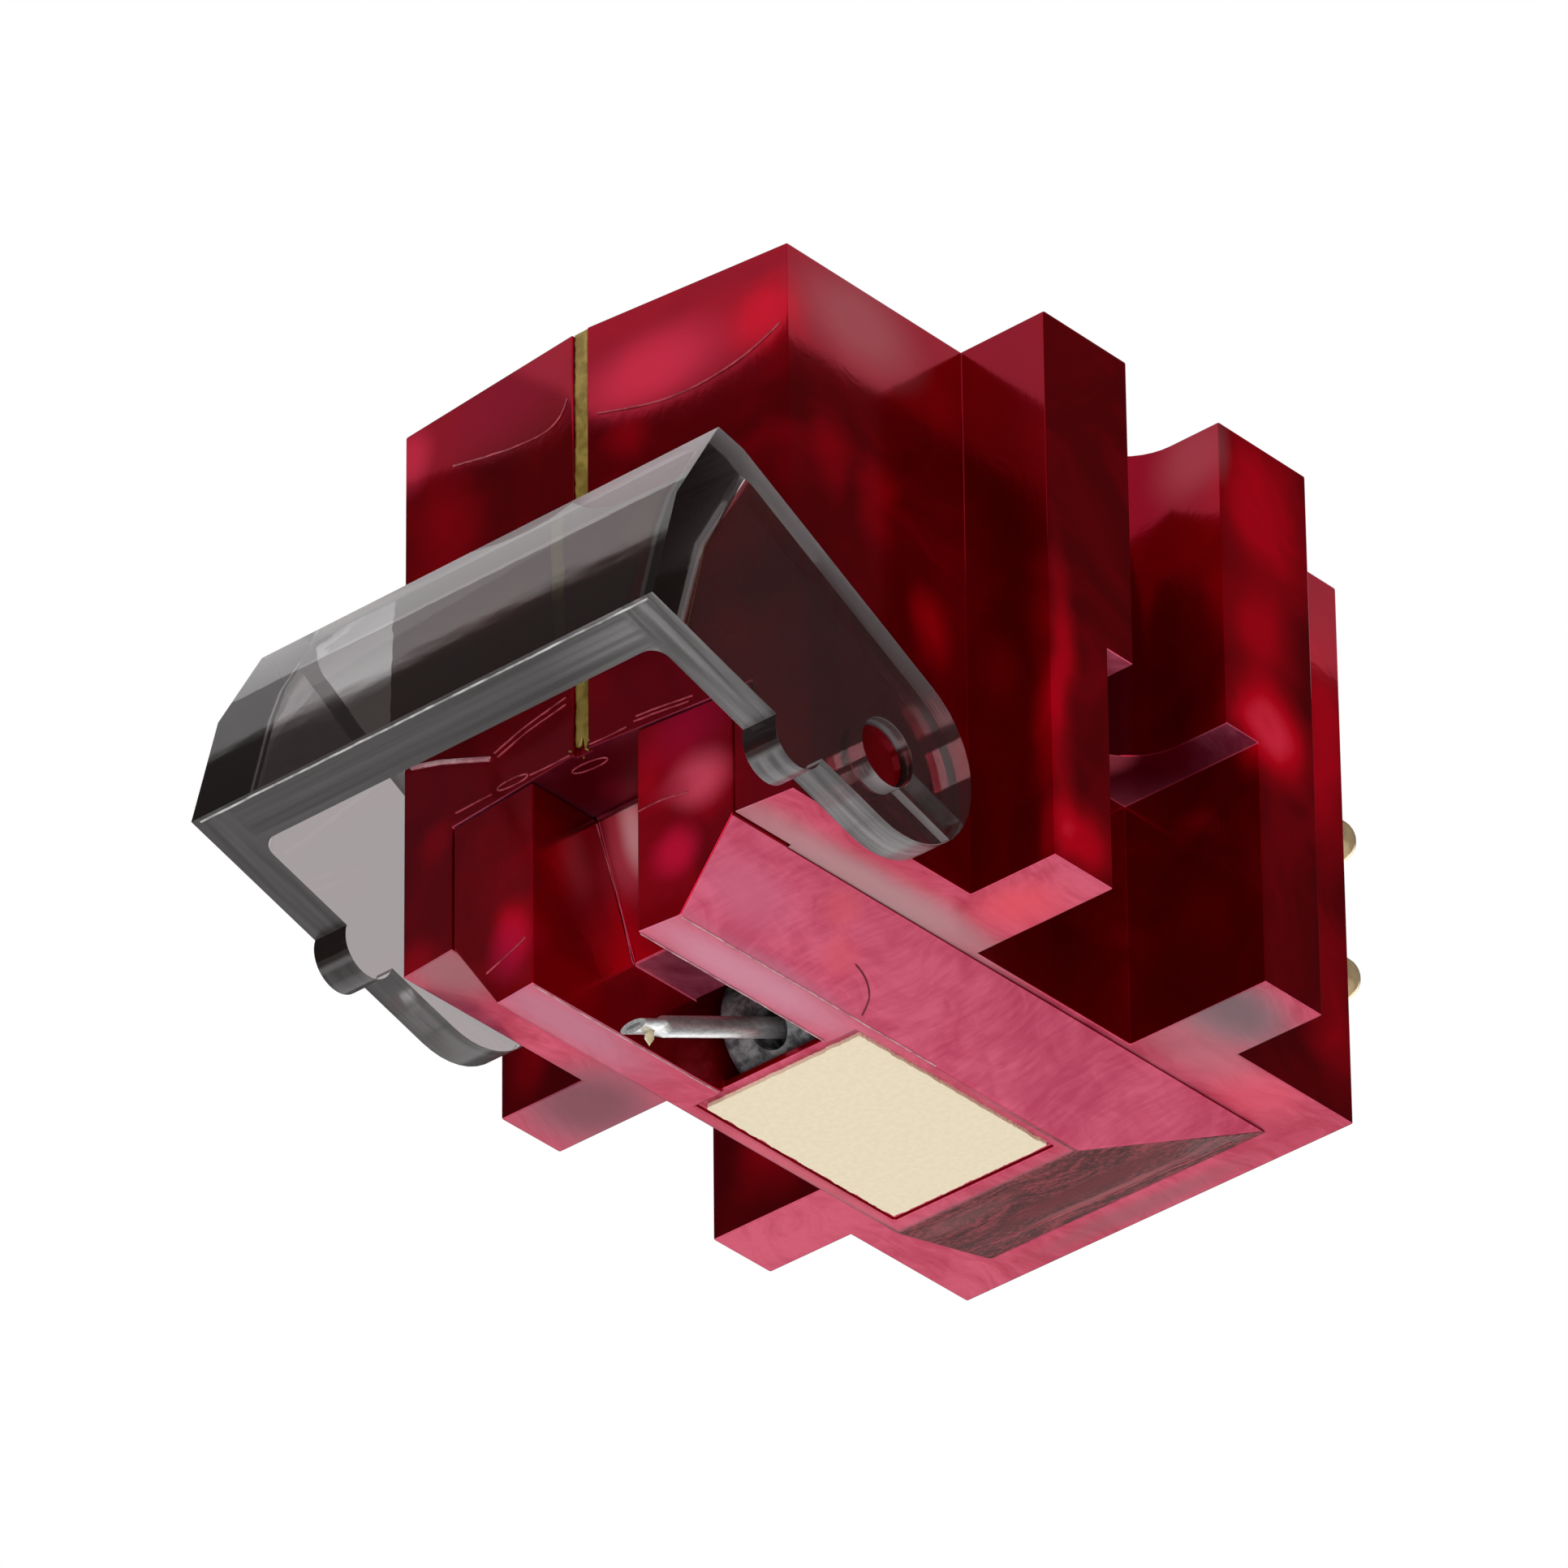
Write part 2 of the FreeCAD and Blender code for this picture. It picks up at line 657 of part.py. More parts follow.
def make_lower_housing():
    """Keel with two front arms, a plug for the shell, a channel and the generator bay."""
    body = new_body("lower_housing")
    half_keel = S.keel_width / 2
    half_foot = S.foot_width / 2
    keel_rear = rear_y() - S.keel_rear_inset
    section = new_sketch(body, "keel_section", "XZ_Plane", offset=-ridge_y())
    draw_polygon(section, [(-half_keel, shell_z()), (half_keel, shell_z()),
                           (half_foot, foot_z()), (-half_foot, foot_z())])
    pad(body, "keel", section, keel_rear - ridge_y(), reverse=True)

    prow = new_sketch(body, "prow_cut_plan", "XY_Plane", offset=shell_z())
    half_block = S.block_width / 2
    draw_polygon(prow, [(-half_block, ridge_y() - OVERCUT), (half_block, ridge_y() - OVERCUT),
                        (half_block, front_y()), (0, ridge_y()), (-half_block, front_y())])
    pocket(body, "prow_cut", prow)

    ramp = new_sketch(body, "ramp_profile", "YZ_Plane")
    ramp_front = keel_rear - S.ramp_length
    draw_polygon(ramp, [(ramp_front, foot_z()), (keel_rear, shell_z()),
                        (keel_rear + OVERCUT, shell_z()), (keel_rear + OVERCUT, foot_z() - OVERCUT),
                        (ramp_front, foot_z() - OVERCUT)])
    pocket(body, "ramp", ramp, both=True)

    half_plug = S.cavity_width / 2 - S.plug_gap
    plug_front = cavity_front_y() + S.plug_gap
    plug = new_sketch(body, "plug_plan", "XY_Plane", offset=shell_z())
    draw_rectangle(plug, -half_plug, half_plug, plug_front, cavity_rear_y() - S.plug_rear_gap)
    pad(body, "plug", plug, S.plug_height)

    arms = new_sketch(body, "arm_plan", "XY_Plane", offset=shell_z())
    tall_rear = plug_front + S.plug_front_length
    arm_rear = cavity_front_y() - S.notch_gap
    right_side = [(half_keel, prow_y(half_keel)), (half_keel, arm_rear),
                  (half_plug, arm_rear), (half_plug, tall_rear)]
    left_side = [(-x, y) for x, y in reversed(right_side)]
    draw_polygon(arms, [(0, ridge_y())] + right_side + left_side)
    arm_height = S.notch_height - S.notch_gap
    pad(body, "front_arms", arms, arm_height)

    bay_wall = -(S.front_yoke_thickness + S.magnet_front + S.bay_gap)
    bay_rear = front_y() + S.bay_rear_setback
    channel = new_sketch(body, "channel_profile", "YZ_Plane")
    slope_foot = plug_front + S.channel_slope_length
    roof = shell_z() - S.channel_roof_drop
    damper_front = front_y() + S.damper_bay_setback
    damper_roof = shell_z() + S.damper_bay_rise
    floor_front = front_y() + S.floor_setback
    draw_polygon(channel, [(ridge_y() - OVERCUT, foot_z() - OVERCUT),
                           (ridge_y() - OVERCUT, notch_z()),
                           (plug_front, notch_z()),
                           (plug_front, notch_z() - S.notch_gap),
                           (slope_foot, roof), (damper_front, roof),
                           (damper_front, damper_roof),
                           (bay_wall_y(bay_wall, damper_roof) + S.bay_gap, damper_roof),
                           (bay_wall_y(bay_wall, floor_z()) + S.bay_gap, floor_z()),
                           (floor_front, floor_z()), (floor_front, foot_z() - OVERCUT)])
    pocket(body, "channel", channel, S.channel_width, both=True)

    bay = new_sketch(body, "generator_bay_profile", "YZ_Plane")
    bay_top = shell_z() + S.plug_height + OVERCUT
    draw_polygon(bay, [(bay_wall_y(bay_wall, floor_z()), floor_z()), (bay_rear, floor_z()),
                       (bay_rear, bay_top), (bay_wall_y(bay_wall, bay_top), bay_top)])
    pocket(body, "generator_bay", bay, S.bay_width, both=True)

    recess = new_sketch(body, "label_recess_plan", "XY_Plane", offset=foot_z())
    draw_rectangle(recess, -S.recess_width / 2, S.recess_width / 2,
                   floor_front, floor_front + S.recess_length)
    pocket(body, "label_recess", recess, S.recess_depth, reverse=True)
    return body


def bay_wall_y(along, z):
    """Place at height z on a plane that stands square to the cantilever axis."""
    slope = sine(S.tilt) / cosine(S.tilt)
    return suspension_y() + along / cosine(S.tilt) - (z - suspension_z()) * slope


def make_label_plate():
    """Bare plate in the recess under the foot."""
    body = new_body("label_plate")
    half_width = S.recess_width / 2 - S.label_gap
    front = front_y() + S.floor_setback
    plan = new_sketch(body, "label_plan", "XY_Plane", offset=foot_z() + S.recess_depth)
    draw_rectangle(plan, -half_width, half_width, front + S.label_front_gap,
                   front + S.recess_length - S.label_rear_gap)
    pad(body, "label", plan, S.label_thickness, reverse=True)
    return body


# Stylus guard
def guard_point(reach, height):
    """Corner of the guard, given ahead of and above its hinge."""
    return hinge_y() - reach, hinge_z() + height


def touch_point(corner, centre, radius, side):
    """Where a line from a corner touches a circle, on one side of it."""
    corner, centre = flat(corner), flat(centre)
    gap = corner.sub(centre)
    bearing = math.atan2(gap.y, gap.x) + side * math.acos(radius.value / gap.Length)
    return centre.x + radius.value * math.cos(bearing), centre.y + radius.value * math.sin(bearing)


def draw_guard_outline(sketch):
    """Side view of the guard: three front edges, two long edges and a round end."""
    brow = guard_point(S.brow_reach, S.brow_height)
    crown = guard_point(S.crown_reach, S.crown_height)
    nose = guard_point(S.nose_reach, S.nose_height)
    lip = guard_point(S.lip_reach, S.lip_height)
    centre = guard_point(-S.end_offset, S.end_lift)
    upper = touch_point(crown, centre, S.end_radius, -1)
    lower = touch_point(lip, centre, S.end_radius, 1)
    middle = flat(centre)
    angles = [math.atan2(y - middle.y, x - middle.x) for x, y in (lower, upper)]
    land = draw_line(sketch, brow, crown)
    top = draw_line(sketch, crown, upper)
    end = sketch.addGeometry(
        Part.ArcOfCircle(
            Part.Circle(middle, FreeCAD.Vector(0, 0, 1), S.end_radius.value), *angles), False)
    bottom = draw_line(sketch, lower, lip)
    chin = draw_line(sketch, lip, nose)
    face = draw_line(sketch, nose, brow)
    for first, second in ((land, top), (bottom, chin), (chin, face), (face, land)):
        sketch.addConstraint(Sketcher.Constraint("Coincident", first, 2, second, 1))
    sketch.addConstraint(Sketcher.Constraint("Tangent", top, 2, end, 2))
    sketch.addConstraint(Sketcher.Constraint("Tangent", end, 1, bottom, 1))
    index = sketch.addConstraint(Sketcher.Constraint("Radius", end, S.end_radius.value))
    sketch.setExpression("Constraints[%d]" % index, S.end_radius.text)
    for item, point, place in ((land, 1, brow), (top, 1, crown), (chin, 1, lip),
                               (face, 1, nose), (end, 3, centre)):
        hold_point(sketch, item, point, place)


def inward(start, end, wall):
    """Shift that moves a front edge of the guard in by its wall."""
    edge = flat(end).sub(flat(start))
    return FreeCAD.Vector(edge.y, -edge.x, 0).normalize().multiply(wall.value)


def draw_guard_hollow(sketch):
    """Side view of the space between the arms, one wall behind the front edges."""
    brow = guard_point(S.brow_reach, S.brow_height)
    nose = guard_point(S.nose_reach, S.nose_height)
    lip = guard_point(S.lip_reach, S.lip_height)
    outer_face = draw_line(sketch, nose, brow, guide=True)
    outer_chin = draw_line(sketch, lip, nose, guide=True)
    face_shift = inward(nose, brow, S.guard_wall)
    chin_shift = inward(lip, nose, S.guard_wall)
    above = hinge_z() + S.brow_height + OVERCUT
    below = hinge_z() + S.end_lift - S.end_radius - OVERCUT
    behind = hinge_y() + S.end_offset + S.end_radius + OVERCUT
    half = face_shift.add(chin_shift)
    bend = flat(nose).add(half.multiply(2 * S.guard_wall.value ** 2 / half.Length ** 2))
    rise = flat(brow).sub(flat(nose))
    head = bend.add(rise.multiply((above.value - bend.y) / rise.y))
    fall = flat(lip).sub(flat(nose))
    foot = bend.add(fall.multiply((below.value - bend.y) / fall.y))
    points = {"bend": (bend.x, bend.y), "head": (head.x, head.y), "foot": (foot.x, foot.y)}
    chin = draw_line(sketch, points["foot"], points["bend"])
    face = draw_line(sketch, points["bend"], points["head"])
    lid = draw_line(sketch, points["head"], (behind, above))
    back = draw_line(sketch, (behind, above), (behind, below))
    base = draw_line(sketch, (behind, below), points["foot"])
    for first, second in ((chin, face), (face, lid), (lid, back), (back, base), (base, chin)):
        sketch.addConstraint(Sketcher.Constraint("Coincident", first, 2, second, 1))
    for line, point, place in ((outer_face, 1, nose), (outer_face, 2, brow),
                               (outer_chin, 1, lip), (outer_chin, 2, nose),
                               (back, 1, (behind, above)), (back, 2, (behind, below))):
        hold_point(sketch, line, point, place)
    for line, guide in ((face, outer_face), (chin, outer_chin)):
        sketch.addConstraint(Sketcher.Constraint("Parallel", line, guide))
        index = sketch.addConstraint(
            Sketcher.Constraint("Distance", face, 1, guide, S.guard_wall.value))
        sketch.setExpression("Constraints[%d]" % index, S.guard_wall.text)
    hold(sketch, "DistanceY", face, 2, above)
    hold(sketch, "DistanceY", chin, 1, below)


def make_stylus_guard():
    """Clear guard: a bent front wall and two arms that swing on the shell's studs."""
    body = new_body("stylus_guard")
    width = 2 * guard_outer_x()
    outline = new_sketch(body, "guard_outline", "YZ_Plane")
    draw_guard_outline(outline)
    pad(body, "guard_block", outline, width, both=True)

    knob = new_sketch(body, "knob_outline", "YZ_Plane")
    draw_circle(knob, guard_point(S.knob_reach, -S.knob_drop), S.knob_radius)
    pad(body, "finger_knobs", knob, width, both=True)

    hollow = new_sketch(body, "guard_hollow_profile", "YZ_Plane")
    draw_guard_hollow(hollow)
    hollow_cut = pocket(body, "guard_hollow", hollow, 2 * guard_inner_x(), both=True)
    DOC.recompute()
    inner_x = guard_inner_x().value
    nose = hinge_y().value - S.nose_reach.value
    reach = 2 * S.guard_wall.value

    def in_front_corner(edge):
        """An edge between an arm and the inside of the front wall."""
        ends = [vertex.Point for vertex in edge.Vertexes]
        at_arm = all(abs(abs(point.x) - inner_x) < 1e-6 for point in ends)
        steep = abs(ends[0].z - ends[-1].z) > abs(ends[0].y - ends[-1].y)
        return at_arm and steep and min(point.y for point in ends) < nose + reach
    fillet(body, "front_corners", hollow_cut, edge_names(hollow_cut, in_front_corner),
           S.guard_round)

    bore = new_sketch(body, "hinge_bore_profile", "YZ_Plane")
    draw_circle(bore, (hinge_y(), hinge_z()), S.stud_radius + S.stud_gap)
    pocket(body, "hinge_bore", bore, both=True)

    lead_in = new_sketch(body, "lead_in_profile", "YZ_Plane")
    length = S.end_offset + S.end_radius + OVERCUT
    half = S.lead_in_width / 2
    along = (cosine(S.lead_in_angle), -sine(S.lead_in_angle))
    across = (-half * along[1], half * along[0])
    corners = []
    for run, side in ((0, -1), (1, -1), (1, 1), (0, 1)):
        corners.append((hinge_y() + length * run * along[0] + across[0] * side,
                        hinge_z() + length * run * along[1] + across[1] * side))
    draw_polygon(lead_in, corners)
    pocket(body, "lead_in_groove", lead_in, 2 * (guard_inner_x() + S.lead_in_depth), both=True)
    return body


# Moving system
def make_cantilever():
    """Thin tube with a flattened, open front end and a hole for the diamond."""
    body = generator_body("cantilever")
    round_front = -(S.cantilever_length - S.flat_length - S.flat_taper)
    turned_body(body, tube_corners(round_front, -S.cantilever_rear,
                                   S.cantilever_bore, S.cantilever_radius))
    flat_rear = round_front - S.flat_taper
    start = new_sketch(body, "taper_start", "XZ_Plane", offset=-round_front)
    draw_circle(start, (0, 0), S.cantilever_radius)
    finish = new_sketch(body, "taper_finish", "XZ_Plane", offset=-flat_rear)
    draw_ellipse(finish, S.flat_width / 2, S.flat_height / 2)
    taper = body.newObject("PartDesign::AdditiveLoft", "taper")
    taper.Profile = start
    taper.Sections = [finish]
    tip = new_sketch(body, "flat_section", "XZ_Plane", offset=-flat_rear)
    draw_ellipse(tip, S.flat_width / 2, S.flat_height / 2)
    pad(body, "flat_tip", tip, S.flat_length)

    slit = new_sketch(body, "slit_section", "XZ_Plane", offset=S.cantilever_length)
    draw_ellipse(slit, S.slit_width / 2, S.slit_height / 2)
    pocket(body, "slit", slit, S.slit_depth)

    hole = new_sketch(body, "diamond_hole_plan", "XY_Plane", turn=-S.tilt, along=diamond_along())
    draw_circle(hole, (0, 0), S.diamond_radius + S.diamond_gap)
    pocket(body, "diamond_hole", hole, both=True)
    return body


def make_stylus_tip():
    """Diamond: an upright shank that ends in a cone."""
    y, z = tilted(diamond_along(), as_size(0))
    body = new_body("stylus_tip", y=y, z=z)
    sketch = new_sketch(body, "diamond_section", "XZ_Plane")
    draw_polygon(sketch, [(0, S.diamond_head), (0, -S.diamond_reach),
                          (S.diamond_radius, S.diamond_cone - S.diamond_reach),
                          (S.diamond_radius, S.diamond_head)])
    turn(body, "diamond", sketch, "Z_Axis")
    return body


def make_cantilever_sleeve():
    """Short sleeve that joins the cantilever to the armature hub."""
    body = generator_body("cantilever_sleeve")
    turned_body(body, tube_corners(-(S.cantilever_rear + S.collar_length), -S.cantilever_rear,
                                   S.cantilever_radius + S.glue_gap, S.collar_radius))
    return body


def make_armature():
    """Hub with a stepped bore and four crossed arms."""
    body = generator_body("armature")
    seat = S.collar_radius + S.glue_gap
    wire_bore = S.wire_radius + S.wire_swing_gap
    step = -(S.cantilever_rear - S.glue_gap)
    turned_body(body, [(-S.hub_front, seat), (step, seat), (step, wire_bore),
                       (-S.hub_rear, wire_bore), (-S.hub_rear, S.hub_radius),
                       (-S.hub_front, S.hub_radius)])
    cross_front = S.cross_centre + S.cross_thickness / 2
    cross = new_sketch(body, "cross_section", "XZ_Plane", offset=cross_front)
    half = S.cross_width / 2
    corners = []
    for name, angle in ARM_ANGLES.items():
        for out, aside in ((half, -half), (S.cross_reach, -half), (S.cross_reach, half)):
            corners.append(turned_point(angle, out, aside))
    draw_polygon(cross, corners)
    pad(body, "cross", cross, S.cross_thickness, reverse=True)
    bore = new_sketch(body, "hub_bore_section", "XZ_Plane", offset=S.hub_front)
    draw_circle(bore, (0, 0), seat)
    pocket(body, "hub_seat", bore, S.hub_front - S.cantilever_rear + S.glue_gap)
    wire = new_sketch(body, "wire_bore_section", "XZ_Plane", offset=S.hub_front)
    draw_circle(wire, (0, 0), wire_bore)
    pocket(body, "wire_bore", wire)
    return body


ARM_ANGLES = {"upper_right": 45.0, "upper_left": 135.0, "lower_left": 225.0, "lower_right": 315.0}


def turned_point(angle, out, aside):
    """Point given along and beside a direction of the armature's cross."""
    angle = as_size(angle)
    x = out * cosine(angle) - aside * sine(angle)
    z = out * sine(angle) + aside * cosine(angle)
    return x, z


def turned_box(angle, near, far, half):
    """Four corners of a rectangle that points along a direction of the cross."""
    return [turned_point(angle, near, -half), turned_point(angle, far, -half),
            turned_point(angle, far, half), turned_point(angle, near, half)]


def make_coil(name, angle):
    """Square winding round one arm of the armature."""
    body = generator_body("coil_" + name)
    front = S.cross_centre + S.coil_size / 2
    outer = new_sketch(body, body.Name + "_winding", "XZ_Plane", offset=front)
    draw_polygon(outer, turned_box(angle, S.coil_inner_reach, S.coil_outer_reach, S.coil_size / 2))
    pad(body, body.Name + "_block", outer, S.coil_size, reverse=True)
    hole_front = S.cross_centre + S.cross_thickness / 2 + S.coil_gap
    inner = new_sketch(body, body.Name + "_hole", "XZ_Plane", offset=hole_front)
    draw_polygon(inner, turned_box(angle, S.coil_inner_reach - S.coil_gap,
                                   S.coil_outer_reach + S.coil_gap,
                                   S.cross_width / 2 + S.coil_gap))
    pocket(body, body.Name + "_opening", inner, S.cross_thickness + 2 * S.coil_gap)
    return body


# Generator
def make_damper_block():
    """Rubber roller across the channel, flat below, with a hole for the cantilever."""
    y, z = tilted(-S.damper_front, S.damper_lift)
    body = new_body("damper_block", y=y, z=z)
    half = S.damper_length / 2
    section = new_sketch(body, "roller_section", "XZ_Plane")
    draw_rectangle(section, -half, half, 0, S.damper_radius)
    roller = turn(body, "roller", section, "X_Axis")
    DOC.recompute()

    def is_rim(edge):
        """The round edge at either end."""
        return isinstance(edge.Curve, Part.Circle) and edge.Curve.Radius > S.damper_radius.value / 2
    fillet(body, "roller_ends", roller, edge_names(roller, is_rim), S.damper_round)
    flat_z = floor_z() + S.damper_floor_gap - z
    under = new_sketch(body, "flat_plan", "XY_Plane", offset=flat_z)
    side = S.damper_radius + OVERCUT
    draw_rectangle(under, -side, side, -side, side)
    pocket(body, "flat", under)
    bore = new_sketch(body, "cantilever_bore_profile", "XZ_Plane", turn=S.tilt)
    draw_circle(bore, (0, -S.damper_lift), S.damper_bore)
    pocket(body, "cantilever_hole", bore, both=True)
    return body


def make_pivot_damper():
    """Rubber disc between the armature and the rear pole."""
    body = generator_body("pivot_damper")
    turned_body(body, tube_corners(-S.pivot_damper_front, S.pivot_damper_rear,
                                   S.wire_radius + S.pivot_damper_gap, S.pivot_damper_radius))
    return body


def make_suspension_wire():
    """Fine wire on which the armature pivots."""
    body = generator_body("suspension_wire")
    turned_body(body, tube_corners(-S.wire_front, S.wire_rear, as_size(0), S.wire_radius))
    return body


def make_suspension_sleeve():
    """Sleeve that carries the wire through the rear yoke."""
    body = generator_body("suspension_sleeve")
    turned_body(body, tube_corners(S.pole_front, rear_yoke_rear() + S.holder_overhang,
                                   S.wire_radius + S.glue_gap, S.holder_radius))
    return body


def set_screw_along():
    """Axis of the set screw, in the middle of the rear yoke."""
    return magnet_rear() + S.rear_yoke_thickness / 2


def make_set_screw():
    """Slotted set screw that clamps the suspension sleeve."""
    body = generator_body("suspension_set_screw")
    inner = S.holder_radius + S.glue_gap
    outer = S.yoke_width / 2 - S.set_screw_inset
    shank = new_sketch(body, "set_screw_section", "YZ_Plane", offset=inner)
    draw_circle(shank, (set_screw_along(), 0), S.set_screw_radius)
    pad(body, "set_screw_shank", shank, outer - inner)
    slot = new_sketch(body, "driver_slot_plan", "YZ_Plane", offset=outer)
    reach = S.set_screw_radius + OVERCUT
    draw_rectangle(slot, set_screw_along() - S.set_screw_slot_width / 2,
                   set_screw_along() + S.set_screw_slot_width / 2, -reach, reach)
    pocket(body, "driver_slot", slot, S.set_screw_slot_depth)
    return body


def make_front_yoke():
    """Iron plate with the round hole in which the armature swings."""
    body = generator_body("front_yoke")
    half = S.yoke_width / 2
    plate = new_sketch(body, "front_yoke_section", "XZ_Plane",
                       offset=S.magnet_front + S.front_yoke_thickness)
    draw_rectangle(plate, -half, half, -S.yoke_drop, S.yoke_rise)
    draw_circle(plate, (0, 0), S.gap_radius)
    pad(body, "front_yoke_plate", plate, S.front_yoke_thickness, reverse=True)
    return body


def make_rear_yoke():
    """Iron plate with the rear pole, bored for the suspension and its set screw."""
    body = generator_body("rear_yoke")
    half = S.yoke_width / 2
    plate = new_sketch(body, "rear_yoke_section", "XZ_Plane", offset=-magnet_rear())
    draw_rectangle(plate, -half, half, -S.yoke_drop, S.yoke_rise)
    pad(body, "rear_yoke_plate", plate, S.rear_yoke_thickness, reverse=True)
    pole = new_sketch(body, "pole_section", "XZ_Plane", offset=-magnet_rear())
    draw_circle(pole, (0, 0), S.pole_radius)
    pad(body, "pole", pole, magnet_rear() - S.pole_front)
    bore = new_sketch(body, "sleeve_bore_section", "XZ_Plane", offset=-rear_yoke_rear())
    draw_circle(bore, (0, 0), S.holder_radius + S.glue_gap)
    pocket(body, "sleeve_bore", bore, both=True)
    screw = new_sketch(body, "screw_bore_section", "YZ_Plane")
    draw_circle(screw, (set_screw_along(), 0), S.set_screw_radius + S.glue_gap)
    pocket(body, "screw_bore", screw, half + OVERCUT, reverse=True)
    return body


def make_magnet():
    """Block magnet clamped between the two yokes."""
    body = generator_body("magnet")
    half = S.magnet_width / 2
    block = new_sketch(body, "magnet_section", "XZ_Plane", offset=S.magnet_front - S.glue_gap)
    draw_rectangle(block, -half, half, S.magnet_foot, S.yoke_rise)
    pad(body, "magnet_block", block, S.magnet_thickness - 2 * S.glue_gap, reverse=True)
    return body


def make_tag_board():
    """Small board behind the rear yoke, where coil wires meet the leads."""
    body = generator_body("tag_board")
    half = S.board_width / 2
    board = new_sketch(body, "tag_board_section", "XZ_Plane", offset=-(rear_yoke_rear() + S.board_gap))
    draw_rectangle(board, -half, half, S.board_foot, S.board_foot + S.board_height)
    pad(body, "board", board, S.board_thickness, reverse=True)
    return body


# Terminals
def make_terminal_block():
    """Insulating block that carries the four pins behind the rear wall."""
    body = new_body("terminal_block")
    half = terminal_block_half()
    top = S.terminal_block_margin - S.upper_pin_depth
    foot = -S.lower_pin_depth - S.terminal_block_margin
    section = new_sketch(body, "terminal_block_section", "XZ_Plane", offset=-terminal_block_rear_y())
    draw_rectangle(section, -half, half, foot, top)
    for _name, x, z in pin_places():
        draw_circle(section, (x, z), S.pin_root_radius + S.pin_gap)
    pad(body, "terminal_block_plate", section, S.terminal_block_thickness)
    return body


def make_pin(name, x, z):
    """Terminal pin with a thick root and a half-round outer end."""
    body = new_body("pin_" + name, x=x, y=pin_tail_y(), z=z)
    section = new_sketch(body, body.Name + "_section", "YZ_Plane")
    length = rear_y() + S.pin_protrusion - pin_tail_y()
    step = rear_y() + S.pin_collar - pin_tail_y()
    dome = length - S.pin_radius
    draw_round_bar(section, dome, S.pin_radius,
                   [(step, S.pin_radius), (step, S.pin_root_radius), (0, S.pin_root_radius)])
    turn(body, body.Name + "_turned", section, "Y_Axis")
    return body


def draw_round_bar(sketch, dome, radius, outline):
    """Half section of a bar from the sketch's origin to a half-round end."""
    corners = [(dome, radius)] + outline + [(0, 0), (dome + radius, 0)]
    circle = Part.Circle(flat((dome, 0)), FreeCAD.Vector(0, 0, 1), radius.value)
    end = sketch.addGeometry(Part.ArcOfCircle(circle, 0, math.radians(90)), False)
    sides = [draw_line(sketch, start, stop) for start, stop in zip(corners, corners[1:])]
    joints = list(zip(sides, sides[1:])) + [(sides[-1], end), (end, sides[0])]
    for first, second in joints:
        sketch.addConstraint(Sketcher.Constraint("Coincident", first, 2, second, 1))
    for side, corner in zip(sides, corners):
        hold_point(sketch, side, 1, corner)
    hold_point(sketch, sides[-1], 2, corners[-1])


# Bends of each lead as shares of its way across, back and up, from the straight run at
# the tag board to the straight run at the pin
UPPER_ROUTE = [(0.19, 0.4, 0.19), (0.49, 0.6, 0.49), (0.81, 0.76, 0.79)]
LOWER_ROUTE = [(0.36, 0.36, 0.36), (0.76, 0.68, 0.7)]
TAG_RUN = 1.1
PIN_RUN = 0.9
ARC_SHARE = 0.45


def lead_points(sign, tag_x, route, pin_z):
    """Route of one lead from its tag to the end of its pin."""
    board_rear = rear_yoke_rear() + S.board_gap + S.board_thickness
    tag, tag_end = [FreeCAD.Vector(tag_x.value, y.value, z.value) for y, z in (
        tilted(board_rear + run, S.lead_height) for run in (0, TAG_RUN))]
    pin = FreeCAD.Vector((S.pin_pitch / 2).value, pin_tail_y().value, pin_z.value)
    pin_start = pin - FreeCAD.Vector(0, PIN_RUN, 0)
    way = pin_start - tag_end
    bends = [tag_end + FreeCAD.Vector(way.x * across, way.y * back, way.z * up)
             for across, back, up in route]
    return [FreeCAD.Vector(sign * point.x, point.y, point.z)
            for point in [tag, tag_end] + bends + [pin_start, pin]]


def rounded_path(points):
    """Straight runs joined by arcs that touch them."""
    edges = []
    start = points[0]
    for before, corner, after in zip(points, points[1:], points[2:]):
        into = corner.sub(before)
        out = after.sub(corner)
        cut = ARC_SHARE * min(into.Length, out.Length)
        into.normalize()
        out.normalize()
        enter = corner.sub(FreeCAD.Vector(into).multiply(cut))
        leave = corner.add(FreeCAD.Vector(out).multiply(cut))
        half_turn = into.getAngle(out) / 2
        radius = cut / math.tan(half_turn)
        bisector = out.sub(into).normalize()
        middle = corner.add(FreeCAD.Vector(bisector).multiply(radius / math.cos(half_turn) - radius))
        edges.append(Part.LineSegment(start, enter).toShape())
        edges.append(Part.Arc(enter, middle, leave).toShape())
        start = leave
    edges.append(Part.LineSegment(start, points[-1]).toShape())
    return Part.Wire(edges)


def make_lead(name, points):
    """Lead wire along its route."""
    path = rounded_path(points)
    radius = S.lead_radius.value
    ring = Part.Wire(Part.Circle(points[0], points[1].sub(points[0]), radius).toShape())
    lead = DOC.addObject("Part::Feature", "lead_" + name)
    lead.Label = "lead_" + name
    lead.Shape = path.makePipeShell([ring], True, False)
    lead.Placement = FreeCAD.Placement()
    expected = math.pi * radius ** 2 * path.Length
    if abs(lead.Shape.Volume - expected) > 0.01 * expected:
        raise ValueError("%s has volume %g, not %g" % (name, lead.Shape.Volume, expected))
    return lead


